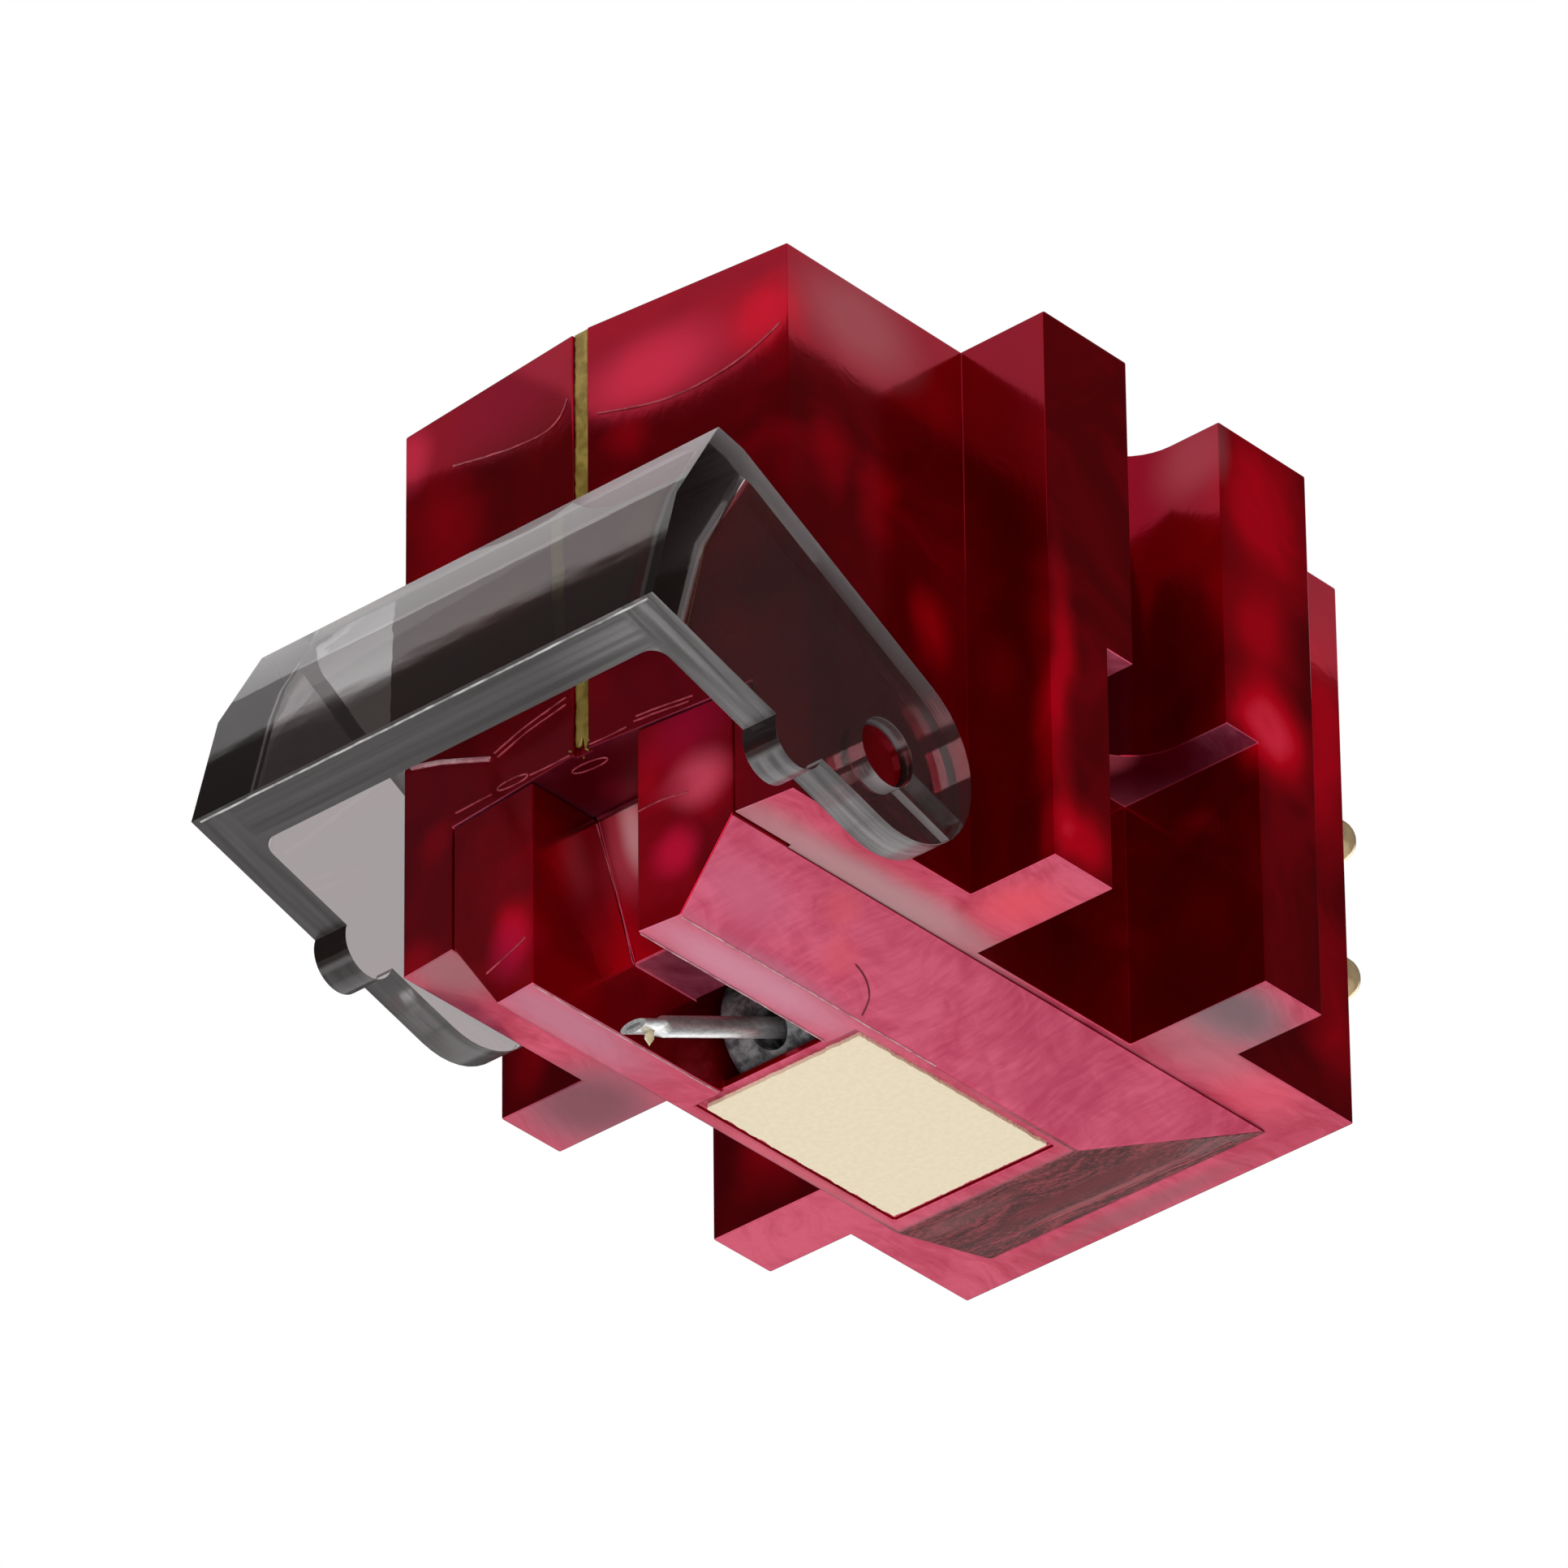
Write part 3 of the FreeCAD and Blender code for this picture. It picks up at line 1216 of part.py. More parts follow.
def make_leads():
    """Four leads: the inner tags serve the upper pins, the outer tags the lower ones."""
    leads = []
    for side, sign in SIDES.items():
        upper = lead_points(sign, S.inner_lead_x, UPPER_ROUTE, -S.upper_pin_depth)
        lower = lead_points(sign, S.outer_lead_x, LOWER_ROUTE, -S.lower_pin_depth)
        leads.append(make_lead("upper_" + side, upper))
        leads.append(make_lead("lower_" + side, lower))
    return leads


def make_all():
    """Every sub-part, from the casings inwards."""
    parts = [make_upper_housing(), make_cue_line(), make_lower_housing(), make_label_plate(),
             make_stylus_guard(), make_cantilever(), make_stylus_tip(), make_cantilever_sleeve(),
             make_armature()]
    parts += [make_coil(name, angle) for name, angle in ARM_ANGLES.items()]
    parts += [make_damper_block(), make_pivot_damper(), make_suspension_wire(),
              make_suspension_sleeve(), make_set_screw(), make_front_yoke(), make_rear_yoke(),
              make_magnet(), make_tag_board(), make_terminal_block()]
    parts += [make_pin(name, x, z) for name, x, z in pin_places()]
    parts += make_leads()
    return parts


def check(parts):
    """Stop unless every feature worked, every cut removed something and every solid is sound."""
    for item in DOC.Objects:
        if "Invalid" in item.State or "Error" in item.State:
            raise ValueError("%s failed: %s" % (item.Name, item.State))
        if item.TypeId == "PartDesign::Pocket":
            if item.Shape.Volume > item.BaseFeature.Shape.Volume - 1e-6:
                raise ValueError("%s cuts nothing" % item.Name)
    for part in parts:
        shape = part.Shape
        if shape.isNull() or not shape.isValid() or len(shape.Solids) != 1:
            raise ValueError("%s is not one sound solid" % part.Label)


def write_parts(parts):
    """One file for each sub-part."""
    os.makedirs("parts", exist_ok=True)
    for part in parts:
        part.Shape.exportStep(os.path.join("parts", part.Label + ".step"))
        box = part.Shape.BoundBox
        print("%-22s volume %9.4f  x %6.2f %6.2f  y %6.2f %6.2f  z %6.2f %6.2f" % (
            part.Label, part.Shape.Volume, box.XMin, box.XMax, box.YMin, box.YMax,
            box.ZMin, box.ZMax))


write_sheet()
PARTS = make_all()
DOC.recompute()
check(PARTS)
write_parts(PARTS)
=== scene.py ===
import logging
import math
from dataclasses import dataclass
from enum import Enum, IntEnum
from typing import Iterable, Sequence

import bmesh
import bpy
from mathutils import Matrix, Vector, noise


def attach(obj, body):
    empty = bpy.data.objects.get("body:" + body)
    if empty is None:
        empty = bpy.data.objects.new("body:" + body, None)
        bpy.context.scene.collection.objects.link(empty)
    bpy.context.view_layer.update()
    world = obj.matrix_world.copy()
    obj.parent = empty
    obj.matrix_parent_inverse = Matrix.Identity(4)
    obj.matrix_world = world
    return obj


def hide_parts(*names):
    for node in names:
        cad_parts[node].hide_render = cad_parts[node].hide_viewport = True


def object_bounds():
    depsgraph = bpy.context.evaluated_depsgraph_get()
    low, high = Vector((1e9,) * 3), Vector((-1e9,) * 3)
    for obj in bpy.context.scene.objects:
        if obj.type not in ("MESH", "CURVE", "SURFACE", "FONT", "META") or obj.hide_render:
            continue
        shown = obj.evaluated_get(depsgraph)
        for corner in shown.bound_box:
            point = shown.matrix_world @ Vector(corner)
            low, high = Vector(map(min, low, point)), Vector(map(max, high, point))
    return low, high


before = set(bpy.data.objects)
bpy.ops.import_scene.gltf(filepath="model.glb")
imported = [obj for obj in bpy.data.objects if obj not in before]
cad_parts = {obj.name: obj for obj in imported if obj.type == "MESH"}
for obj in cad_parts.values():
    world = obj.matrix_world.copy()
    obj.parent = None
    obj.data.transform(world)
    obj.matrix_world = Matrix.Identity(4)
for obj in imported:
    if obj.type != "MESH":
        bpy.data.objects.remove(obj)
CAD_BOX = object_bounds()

# The looks of a phono cartridge with a swinging stylus guard. Sizes named _mm are in
# millimetres and become metres where a mesh is made. The prow points to -Y, the pins
# to +Y, and the mounting face lies in the plane z = 0 with the stylus below it.

LOG = logging.getLogger("cartridge")
MM = 0.001
WELD_MM = 0.0004        # corners closer than this become one
FLAT_DEGREES = 0.6      # faces that meet flatter than this are joined
SHARP_DEGREES = 28.0    # edges that turn more than this stay crisp and are rounded
EDGE_SEGMENTS = 2
Colour = tuple[float, float, float]
Point = tuple[float, float, float]
Range = tuple[float, float]
Lumps = tuple[float, ...]    # a noise's lumps per unit, finer layers, their strength and their pull
Path = tuple[Point, ...]
Socket = bpy.types.NodeSocket
Piece = bpy.types.Object
Value = float | Socket


def opaque(colour: Colour) -> tuple[float, float, float, float]:
    """The colour with full cover."""
    return (*colour, 1.0)


class Body(Enum):
    """Bodies that new pieces ride on."""

    ROOT = "root"
    GUARD = "guard"
    STYLUS = "stylus"


class Slot(Enum):
    """Material slots of the record, one named for each kind of new piece."""

    SHELL = "shell_red"
    KEEL = "keel_red"
    GUARD = "guard_smoke"
    CUE = "cue_paint"
    LABEL = "label_cream"
    COPPER = "coil_copper"


# Node graphs
class Graph:
    """Short ways to write a node tree."""

    def __init__(self, tree: bpy.types.NodeTree) -> None:
        """Starts from an empty tree."""
        self.tree = tree
        tree.nodes.clear()

    def add(self, kind: str, inputs: dict | None = None, **settings) -> bpy.types.Node:
        """Adds one node.

        Args:
            kind: The node's type.
            inputs: Plain values or sockets, by input name or number.
            settings: Attributes of the node.

        Returns:
            The new node.
        """
        node = self.tree.nodes.new(kind)
        for name, value in settings.items():
            setattr(node, name, value)
        for key, value in (inputs or {}).items():
            if isinstance(value, Socket):
                self.join(value, node.inputs[key])
            else:
                node.inputs[key].default_value = value
        return node

    def join(self, source: Socket, target: Socket) -> None:
        """Links two sockets."""
        self.tree.links.new(source, target)

    def calc(self, operation: str, *values: Value, clamp: bool = False) -> Socket:
        """One sum of values, kept between 0 and 1 where clamp is set."""
        return self.add("ShaderNodeMath", dict(enumerate(values)), operation=operation,
                        use_clamp=clamp).outputs[0]

    def plus(self, first: Value, second: Value) -> Socket:
        """The sum of two values."""
        return self.calc("ADD", first, second)

    def minus(self, first: Value, second: Value) -> Socket:
        """The first value less the second."""
        return self.calc("SUBTRACT", first, second)

    def times(self, first: Value, second: Value) -> Socket:
        """The product of two values."""
        return self.calc("MULTIPLY", first, second)

    def vector(self, operation: str, *values: Point | Socket) -> Socket:
        """One vector sum, whose result is a number for LENGTH and DOT_PRODUCT."""
        node = self.add("ShaderNodeVectorMath", dict(enumerate(values)), operation=operation)
        return node.outputs["Value" if operation in ("LENGTH", "DOT_PRODUCT") else "Vector"]

    def scaled(self, vector: Point | Socket, factor: Value) -> Socket:
        """A vector times a value."""
        return self.add("ShaderNodeVectorMath", {0: vector, "Scale": factor},
                        operation="SCALE").outputs["Vector"]

    def split(self, vector: Socket) -> bpy.types.NodeOutputs:
        """The parts of a vector, by the names X, Y and Z."""
        return self.add("ShaderNodeSeparateXYZ", {0: vector}).outputs

    def spread(self, value: Value, low: float, high: float, to_low: Value = 0.0, to_high: Value = 1.0,
               smooth: bool = True) -> Socket:
        """Maps low to high on another range, eased where smooth is set, and keeps its ends."""
        return self.add("ShaderNodeMapRange", {
            "Value": value, "From Min": low, "From Max": high, "To Min": to_low, "To Max": to_high},
            interpolation_type="SMOOTHSTEP" if smooth else "LINEAR", clamp=True).outputs["Result"]

    def noise(self, vector: Socket, scale: Value, detail: float = 2.0, roughness: float = 0.5,
              distortion: float = 0.0) -> bpy.types.NodeOutputs:
        """Soft noise over a place, in the order of Lumps."""
        return self.add("ShaderNodeTexNoise", {"Vector": vector, "Scale": scale, "Detail": detail,
                                               "Roughness": roughness, "Distortion": distortion}).outputs

    def stretched_noise(self, vector: Socket, stretch: Point, *lumps: float) -> bpy.types.NodeOutputs:
        """Noise over a place that is stretched first."""
        return self.noise(self.vector("MULTIPLY", vector, stretch), *lumps)

    def blend(self, factor: Value, first: Colour | Socket, second: Colour | Socket) -> Socket:
        """Mixes two colours.

        Args:
            factor: Share of the second colour.
            first: The first colour or its socket.
            second: The second colour or its socket.

        Returns:
            The mixed colour's socket.
        """
        node = self.add("ShaderNodeMix", data_type="RGBA")
        sockets = {socket.identifier: socket for socket in node.inputs}
        for key, value in (("Factor_Float", factor), ("A_Color", first), ("B_Color", second)):
            if isinstance(value, Socket):
                self.join(value, sockets[key])
            else:
                sockets[key].default_value = opaque(value) if isinstance(value, tuple) else value
        return next(socket for socket in node.outputs if socket.identifier == "Result_Color")

    def ramp(self, factor: Socket, stops: Sequence[tuple[float, Colour]]) -> Socket:
        """Colours laid out along a number.

        Args:
            factor: The number.
            stops: Places and colours, in order.

        Returns:
            The colour's socket.
        """
        node = self.add("ShaderNodeValToRGB", {"Fac": factor})
        elements = node.color_ramp.elements
        for element, (place, colour) in zip(elements, (stops[0], stops[-1])):
            element.position, element.color = place, opaque(colour)
        for place, colour in stops[1:-1]:
            elements.new(place).color = opaque(colour)
        return node.outputs["Color"]

    def millimetres(self) -> Socket:
        """The object's own coordinates in millimetres."""
        return self.scaled(self.add("ShaderNodeTexCoord").outputs["Object"], 1 / MM)

    def bump(self, height: Socket, depth_mm: float) -> Socket:
        """A normal bumped by a height between 0 and 1."""
        return self.add("ShaderNodeBump", {"Strength": 1.0, "Distance": depth_mm * MM,
                                           "Height": height}).outputs["Normal"]


# Finishes
@dataclass(frozen=True)
class Finish:
    """A finish with its name, made into a material once."""

    name: str

    def material(self) -> bpy.types.Material:
        """Returns the finish's material, and makes it first if it isn't there."""
        found = bpy.data.materials.get(self.name)
        if found is not None:
            return found
        made = bpy.data.materials.new(self.name)
        made.use_nodes = True
        graph = Graph(made.node_tree)
        output = graph.add("ShaderNodeOutputMaterial")
        graph.join(self.surface(graph), output.inputs["Surface"])
        depth = self.depth(graph)
        if depth is not None:
            graph.join(depth, output.inputs["Volume"])
        return made

    def surface(self, graph: Graph) -> Socket:
        """Builds the surface's shader in the graph and returns its socket."""
        raise NotImplementedError(self.name)

    def depth(self, graph: Graph) -> Socket | None:
        """Builds the shader of what lies within, where the finish has one."""
        return None


@dataclass(frozen=True)
class Swirl:
    """A bright drift of pearl in the plastic."""

    centre_mm: Point
    radii_mm: Point
    gain: float


@dataclass(frozen=True)
class LightAndTonePatch:
    """A place on the undersides, or on the other faces, where another colour is painted on: mostly painted
    shade, painted highlights and painted reflections, in some places the plastic's own tone.
    """

    centre_mm: Point
    radii_mm: Point
    share: float
    colour: Colour
    below: bool = True
    matt: float = 0.0


@dataclass(frozen=True)
class PearlPlastic(Finish):
    """Ruby plastic with pearl in it, polished, its undersides frosted, with painted light on the faces
    turned down and painted shade and highlights in places.
    """

    swirls: tuple[Swirl, ...] = ()
    light_and_tone_patches: tuple[LightAndTonePatch, ...] = ()
    level: float = 0.27
    drift: float = 0.55
    # Painted shade between the lugs, and where it starts
    recess_painted_shade: float = 0.10
    recess_y_mm: Range = (-7.4, -6.4)
    front_turn: Range = (-0.8, -0.95)
    under_turn: Range = (0.42, 0.55)
    flat_turn: Range = (0.85, 0.95)
    ramp_turn: Range = (0.12, 0.22)
    pull_lumps: Lumps = (0.30,)
    far_pull_mm: float = 3.2
    near_pull_mm: float = 1.3
    patch_pull_mm: float = 0.5
    drift_lumps: Lumps = (0.24, 3.0, 0.55, 0.8)
    fibre_stretch: Point = (3.5, 0.9, 1.5)
    fibre_lumps: Lumps = (1.0, 3.0, 0.6, 0.4)
    fibre_share: float = 0.4
    fibre_bump_mm: float = 0.004
    cloud_range: Range = (0.34, 0.66)
    grain_lumps: Lumps = (9.0, 3.0, 0.65)
    grain_roughness: float = 0.05
    scuff_stretch: Point = (0.5, 2.6, 2.6)
    scuff_lumps: Lumps = (1.6, 4.0, 0.7)
    scuff_share: float = 0.55
    scuff_range: Range = (0.42, 0.64)
    strand_way: Point = (0.44, 0.64, 0.63)
    strand_draw: float = 0.88
    strand_lumps: Lumps = (8.5, 2.0, 0.55)
    strand_share: float = 1.3
    strand_flat_share: float = 0.25
    swirl_edge: Range = (0.15, 1.0)
    polished: float = 0.11
    frosted: float = 0.30
    ramp_roughness: float = 0.25
    shine: Range = (0.5, 0.03)
    pearl_index: float = 3.0
    pearl_tint: Colour = (1.0, 0.015, 0.075)
    coat: float = 0.05
    coat_roughness: float = 0.03
    coat_index: float = 1.5
    tones: tuple[tuple[float, Colour], ...] = (
        (0.0, (0.012, 0.0, 0.0002)),
        (0.25, (0.085, 0.0, 0.0006)),
        (0.5, (0.25, 0.0, 0.003)),
        (0.75, (0.56, 0.0, 0.010)),
        (1.0, (0.85, 0.03, 0.07)),
    )
    # Colours of the faces turned down and of the slopes, paler than the plastic: painted light that these
    # faces take from below
    under_lit_dark: Colour = (0.22, 0.030, 0.068)
    under_lit_pale: Colour = (0.50, 0.120, 0.195)
    slope_lit_dark: Colour = (0.56, 0.085, 0.165)
    slope_lit_pale: Colour = (0.78, 0.165, 0.270)
    ramp_dark: Colour = (0.040, 0.003, 0.004)
    ramp_pale: Colour = (0.30, 0.040, 0.052)

    def surface(self, graph: Graph) -> Socket:
        """Pearl drifts in the depth, under a clear polished skin, with painted light on the faces turned
        down, painted shade between the lugs and painted shade and highlights in places.
        """
        place = graph.millimetres()
        pull = graph.vector("SUBTRACT", graph.noise(place, *self.pull_lumps)["Color"], (0.5, 0.5, 0.5))
        warped = self.pulled(graph, place, pull, self.far_pull_mm)
        drift = graph.noise(warped, *self.drift_lumps)["Fac"]
        fibres = graph.stretched_noise(warped, self.fibre_stretch, *self.fibre_lumps)["Fac"]
        grain = graph.noise(place, *self.grain_lumps)["Fac"]
        facing = graph.split(graph.add("ShaderNodeNewGeometry").outputs["Normal"])
        downward = graph.times(facing["Z"], -1.0)
        under = graph.spread(downward, *self.under_turn)
        slope = graph.spread(downward, *self.flat_turn, 1.0, 0.0)
        ramp = graph.times(graph.spread(facing["Y"], *self.ramp_turn), under)

        # Painted shade: faces turned to the front between the lugs lose glow
        behind = graph.spread(graph.split(place)["Y"], *self.recess_y_mm)
        recess = graph.times(graph.spread(facing["Y"], *self.front_turn), behind)
        glow = graph.plus(self.level - self.drift / 2, graph.times(drift, self.drift))
        swirled = self.drifts(graph, self.pulled(graph, place, pull, self.near_pull_mm), self.swirls)
        glow = graph.minus(graph.plus(glow, swirled), graph.times(recess, self.recess_painted_shade))

        cloud = graph.plus(graph.times(drift, 1.0 - self.fibre_share), graph.times(fibres, self.fibre_share))
        strength = graph.plus(self.strand_flat_share, graph.times(slope, 1.0 - self.strand_flat_share))
        strands = graph.times(graph.minus(self.strands(graph, place, pull), 0.5), strength)
        cloud = graph.calc("ADD", graph.spread(cloud, *self.cloud_range),
                           graph.times(strands, self.strand_share), clamp=True)
        # Painted light: paler colours on the faces turned down, paler still on the slopes
        below = graph.blend(slope, graph.blend(cloud, self.under_lit_dark, self.under_lit_pale),
                            graph.blend(cloud, self.slope_lit_dark, self.slope_lit_pale))

        scuffs = graph.stretched_noise(warped, self.scuff_stretch, *self.scuff_lumps)["Fac"]
        scuffed = graph.plus(graph.times(grain, 1.0 - self.scuff_share),
                             graph.times(scuffs, self.scuff_share))
        worn = graph.blend(graph.spread(scuffed, *self.scuff_range), self.ramp_dark, self.ramp_pale)
        painted = graph.blend(ramp, graph.blend(under, graph.ramp(glow, self.tones), below), worn)

        shine = graph.spread(ramp, 0.0, 1.0, *self.shine, smooth=False)
        nearby = self.pulled(graph, place, pull, self.patch_pull_mm)
        # Painted shade, painted highlights and painted reflections, and some of the plastic's own tone, laid
        # on in places
        for patch in self.light_and_tone_patches:
            share = self.drifts(graph, nearby, (Swirl(patch.centre_mm, patch.radii_mm, patch.share),))
            cover = graph.times(share, under if patch.below else graph.minus(1.0, under))
            painted = graph.blend(cover, painted, patch.colour)
            if patch.matt:
                shine = graph.times(shine, graph.spread(cover, 0.0, 1.0, 1.0, 1.0 - patch.matt))
        satin = graph.plus(graph.spread(under, 0.0, 1.0, self.polished, self.frosted, smooth=False),
                           graph.times(ramp, self.ramp_roughness))
        roughness = graph.plus(satin, graph.times(grain, self.grain_roughness))
        return graph.add("ShaderNodeBsdfPrincipled", {
            "Base Color": painted, "Roughness": roughness, "IOR": self.pearl_index,
            "Specular Tint": opaque(self.pearl_tint), "Specular IOR Level": shine,
            "Coat Weight": self.coat, "Coat Roughness": self.coat_roughness, "Coat IOR": self.coat_index,
            "Normal": graph.bump(fibres, self.fibre_bump_mm)}).outputs["BSDF"]

    def strands(self, graph: Graph, place: Socket, pull: Socket) -> Socket:
        """Fine short fibres that lie askew in the plastic.

        Args:
            graph: The graph.
            place: The place.
            pull: Noise that bends the fibres.

        Returns:
            The socket of a noise drawn out along the fibres.
        """
        bent = self.pulled(graph, place, pull, 1.0)
        reach = graph.vector("DOT_PRODUCT", bent, self.strand_way)
        along = graph.scaled(self.strand_way, graph.times(reach, self.strand_draw))
        return graph.noise(graph.vector("SUBTRACT", bent, along), *self.strand_lumps)["Fac"]

    @staticmethod
    def pulled(graph: Graph, place: Socket, pull: Socket, reach_mm: float) -> Socket:
        """The place, pulled about by noise round zero."""
        return graph.vector("ADD", place, graph.scaled(pull, reach_mm))

    def drifts(self, graph: Graph, place: Socket, swirls: Sequence[Swirl]) -> Value:
        """Adds up the swirls at a place.

        Args:
            graph: The graph.
            place: The place.
            swirls: The swirls.

        Returns:
            The sum's socket, or zero without any swirl.
        """
        total = 0.0
        for swirl in swirls:
            away = graph.vector("SUBTRACT", place, swirl.centre_mm)
            distance = graph.vector("LENGTH", graph.vector("DIVIDE", away, swirl.radii_mm))
            total = graph.plus(total, graph.spread(distance, *self.swirl_edge, swirl.gain, 0.0))
        return total


@dataclass(frozen=True)
class SmokeAcrylic(Finish):
    """Clear moulding with a smoke tint that deepens with the way through it."""

    tint: Colour = (0.90, 0.89, 0.895)
    pane_tint: Colour = (0.65, 0.62, 0.625)
    brow_painted_shade: Colour = (0.085, 0.074, 0.072)
    ground_tint: Colour = (0.21, 0.20, 0.205)
    dust: Colour = (0.009, 0.006, 0.0055)
    pane_dust: Colour = (0.006, 0.0025, 0.0022)
    depth_tint: Colour = (0.50, 0.475, 0.48)
    density: float = 820.0
    index: float = 1.49
    brow_z_mm: Range = (-9.95, -9.35)
    arm_x_mm: Range = (5.2, 5.4)
    arm_line_x_mm: Range = (5.3, 5.6)
    ground_turn: Range = (-0.55, -0.80)
    crown_turn: Range = (-0.80, -0.92)
    pane_turn: Range = (0.80, 0.95)
    bloom_turn: Range = (-0.5, -0.8)
    brow_turn: Range = (-0.88, -0.93)
    bloom_share: float = 0.15
    ground_share: float = 0.34
    ground_roughness: float = 0.22
    smear_stretch: Point = (0.4, 2.5, 2.5)
    smear_lumps: Lumps = (1.2, 3.0, 0.6)
    smear_roughness: tuple[float, ...] = (0.5, 0.8, 0.0, 0.012)
    smear_depth_mm: float = 0.8
    front_stretch: Point = (0.10, 5.0, 5.0)
    arm_stretch: Point = (5.0, 0.25, 0.25)
    line_lumps: Lumps = (1.0, 2.0, 0.6)
    line_tones: tuple[float, ...] = (0.35, 0.65, 0.40, 1.45)
    side_light_tones: tuple[float, ...] = (2.5, 5.8, 0.45, 1.5)
    wave_lumps: Lumps = (0.8,)
    wave_bump_mm: float = 0.002

    def depth(self, graph: Graph) -> Socket:
        """The tint that the way through the moulding adds."""
        return graph.add("ShaderNodeVolumeAbsorption", {
            "Color": opaque(self.depth_tint), "Density": self.density}).outputs["Volume"]

    def surface(self, graph: Graph) -> Socket:
        """A clear, polished skin, with ground faces below and a bloom on its brow; painted shade darkens the
        lower front facet and the left of the ground faces, and a painted highlight lightens the arms' tops
        seen from within.
        """
        place = graph.millimetres()
        at = graph.split(place)
        geometry = graph.add("ShaderNodeNewGeometry").outputs
        facing = graph.split(geometry["Normal"])
        out = graph.calc("ABSOLUTE", at["X"])
        smears = graph.stretched_noise(place, self.smear_stretch, *self.smear_lumps)["Fac"]
        front_lines, arm_lines = (graph.stretched_noise(place, stretch, *self.line_lumps)["Color"]
                                  for stretch in (self.front_stretch, self.arm_stretch))

        ground = graph.spread(facing["Z"], *self.ground_turn)
        within = graph.times(geometry["Backfacing"], graph.spread(out, *self.arm_x_mm))
        # Painted highlight: the arms' top faces, seen from within, turn pale and cloudy
        crown_highlight = graph.times(within, graph.spread(facing["Z"], *self.crown_turn))
        pane = graph.spread(graph.calc("ABSOLUTE", facing["X"]), *self.pane_turn)
        feathered = graph.plus(at["Z"], graph.times(smears, self.smear_depth_mm))
        bloom = graph.times(graph.spread(feathered, *self.brow_z_mm),
                            graph.spread(facing["Y"], *self.bloom_turn))
        # Painted shade: the lower front facet is tinted dark
        brow = graph.times(graph.spread(facing["Y"], *self.brow_turn),
                           graph.spread(feathered, *reversed(self.brow_z_mm)))

        lines = graph.blend(graph.spread(out, *self.arm_line_x_mm), front_lines, arm_lines)
        streaks = graph.spread(graph.vector("DOT_PRODUCT", lines, (1.0, 0.0, 0.0)), *self.line_tones,
                               smooth=False)
        # Painted shade and light: the ground faces darker to the left and lighter on the right arm
        streaks = graph.times(streaks, graph.spread(at["X"], *self.side_light_tones))
        skin = graph.blend(brow, graph.blend(pane, self.tint, self.pane_tint), self.brow_painted_shade)
        skin = graph.blend(ground, skin, graph.scaled(self.ground_tint, streaks))
        cloudy = graph.calc("MAXIMUM", graph.times(bloom, self.bloom_share),
                            graph.calc("MAXIMUM", graph.times(ground, self.ground_share), crown_highlight))
        roughness = graph.plus(graph.spread(smears, *self.smear_roughness),
                               graph.times(ground, self.ground_roughness))
        waves = graph.noise(place, *self.wave_lumps)["Fac"]
        shader = graph.add("ShaderNodeBsdfPrincipled", {
            "Base Color": graph.blend(crown_highlight, skin, self.tint), "IOR": self.index, "Roughness": roughness,
            "Transmission Weight": graph.minus(1.0, cloudy),
            "Normal": graph.bump(waves, self.wave_bump_mm)})
        dust = graph.add("ShaderNodeBsdfDiffuse", {"Color": graph.blend(pane, self.dust, self.pane_dust)})
        return graph.add("ShaderNodeAddShader", {0: shader.outputs["BSDF"],
                                                 1: dust.outputs["BSDF"]}).outputs["Shader"]


@dataclass(frozen=True)
class Mottled(Finish):
    """An opaque finish with two tones, a grain and a bump."""

    light: Colour
    dark: Colour
    roughness: float = 0.5
    metallic: float = 0.0
    grain: float = 3.0
    bump_mm: float = 0.0
    stretch: Point = (1.0, 1.0, 1.0)
    tone_range: Range = (0.35, 0.65)
    finer: Lumps = (4.0, 0.6)
    roughness_range: float = 0.16

    def surface(self, graph: Graph) -> Socket:
        """Two tones mixed by a grain that also sets the roughness and the bump."""
        grain = graph.stretched_noise(graph.millimetres(), self.stretch, self.grain, *self.finer)["Fac"]
        tone = graph.blend(graph.spread(grain, *self.tone_range), self.dark, self.light)
        roughness = graph.calc("ADD", graph.times(grain, self.roughness_range),
                               self.roughness - self.roughness_range / 2, clamp=True)
        inputs = {"Base Color": tone, "Roughness": roughness, "Metallic": self.metallic}
        if self.bump_mm:
            inputs["Normal"] = graph.bump(grain, self.bump_mm)
        return graph.add("ShaderNodeBsdfPrincipled", inputs).outputs["BSDF"]


@dataclass(frozen=True)
class Gem(Finish):
    """A small clear stone with a warm tint."""

    tint: Colour = (0.95, 0.85, 0.55)
    cloud_tint: Colour = (0.75, 0.60, 0.32)
    cloud_lumps: Lumps = (9.0,)
    cloud_range: Range = (0.3, 0.7)
    roughness: float = 0.06
    index: float = 2.4
    clear: float = 0.35

    def surface(self, graph: Graph) -> Socket:
        """A polished stone with faint clouds in it."""
        lumps = graph.noise(graph.millimetres(), *self.cloud_lumps)["Fac"]
        cloud = graph.spread(lumps, *self.cloud_range)
        return graph.add("ShaderNodeBsdfPrincipled", {
            "Base Color": graph.blend(cloud, self.cloud_tint, self.tint), "Roughness": self.roughness,
            "IOR": self.index, "Transmission Weight": self.clear}).outputs["BSDF"]


@dataclass(frozen=True)
class Glow(Finish):
    """A lit board, dimmer to its left."""

    colour: Colour = (0.82, 0.70, 0.74)
    edge_x_mm: Range = (-2.4, -1.7)
    strength: Range = (0.5, 1.0)

    def surface(self, graph: Graph) -> Socket:
        """Light whose strength changes across the board."""
        strength = graph.spread(graph.split(graph.millimetres())["X"], *self.edge_x_mm, *self.strength)
        return graph.add("ShaderNodeEmission", {"Color": opaque(self.colour),
                                                "Strength": strength}).outputs["Emission"]
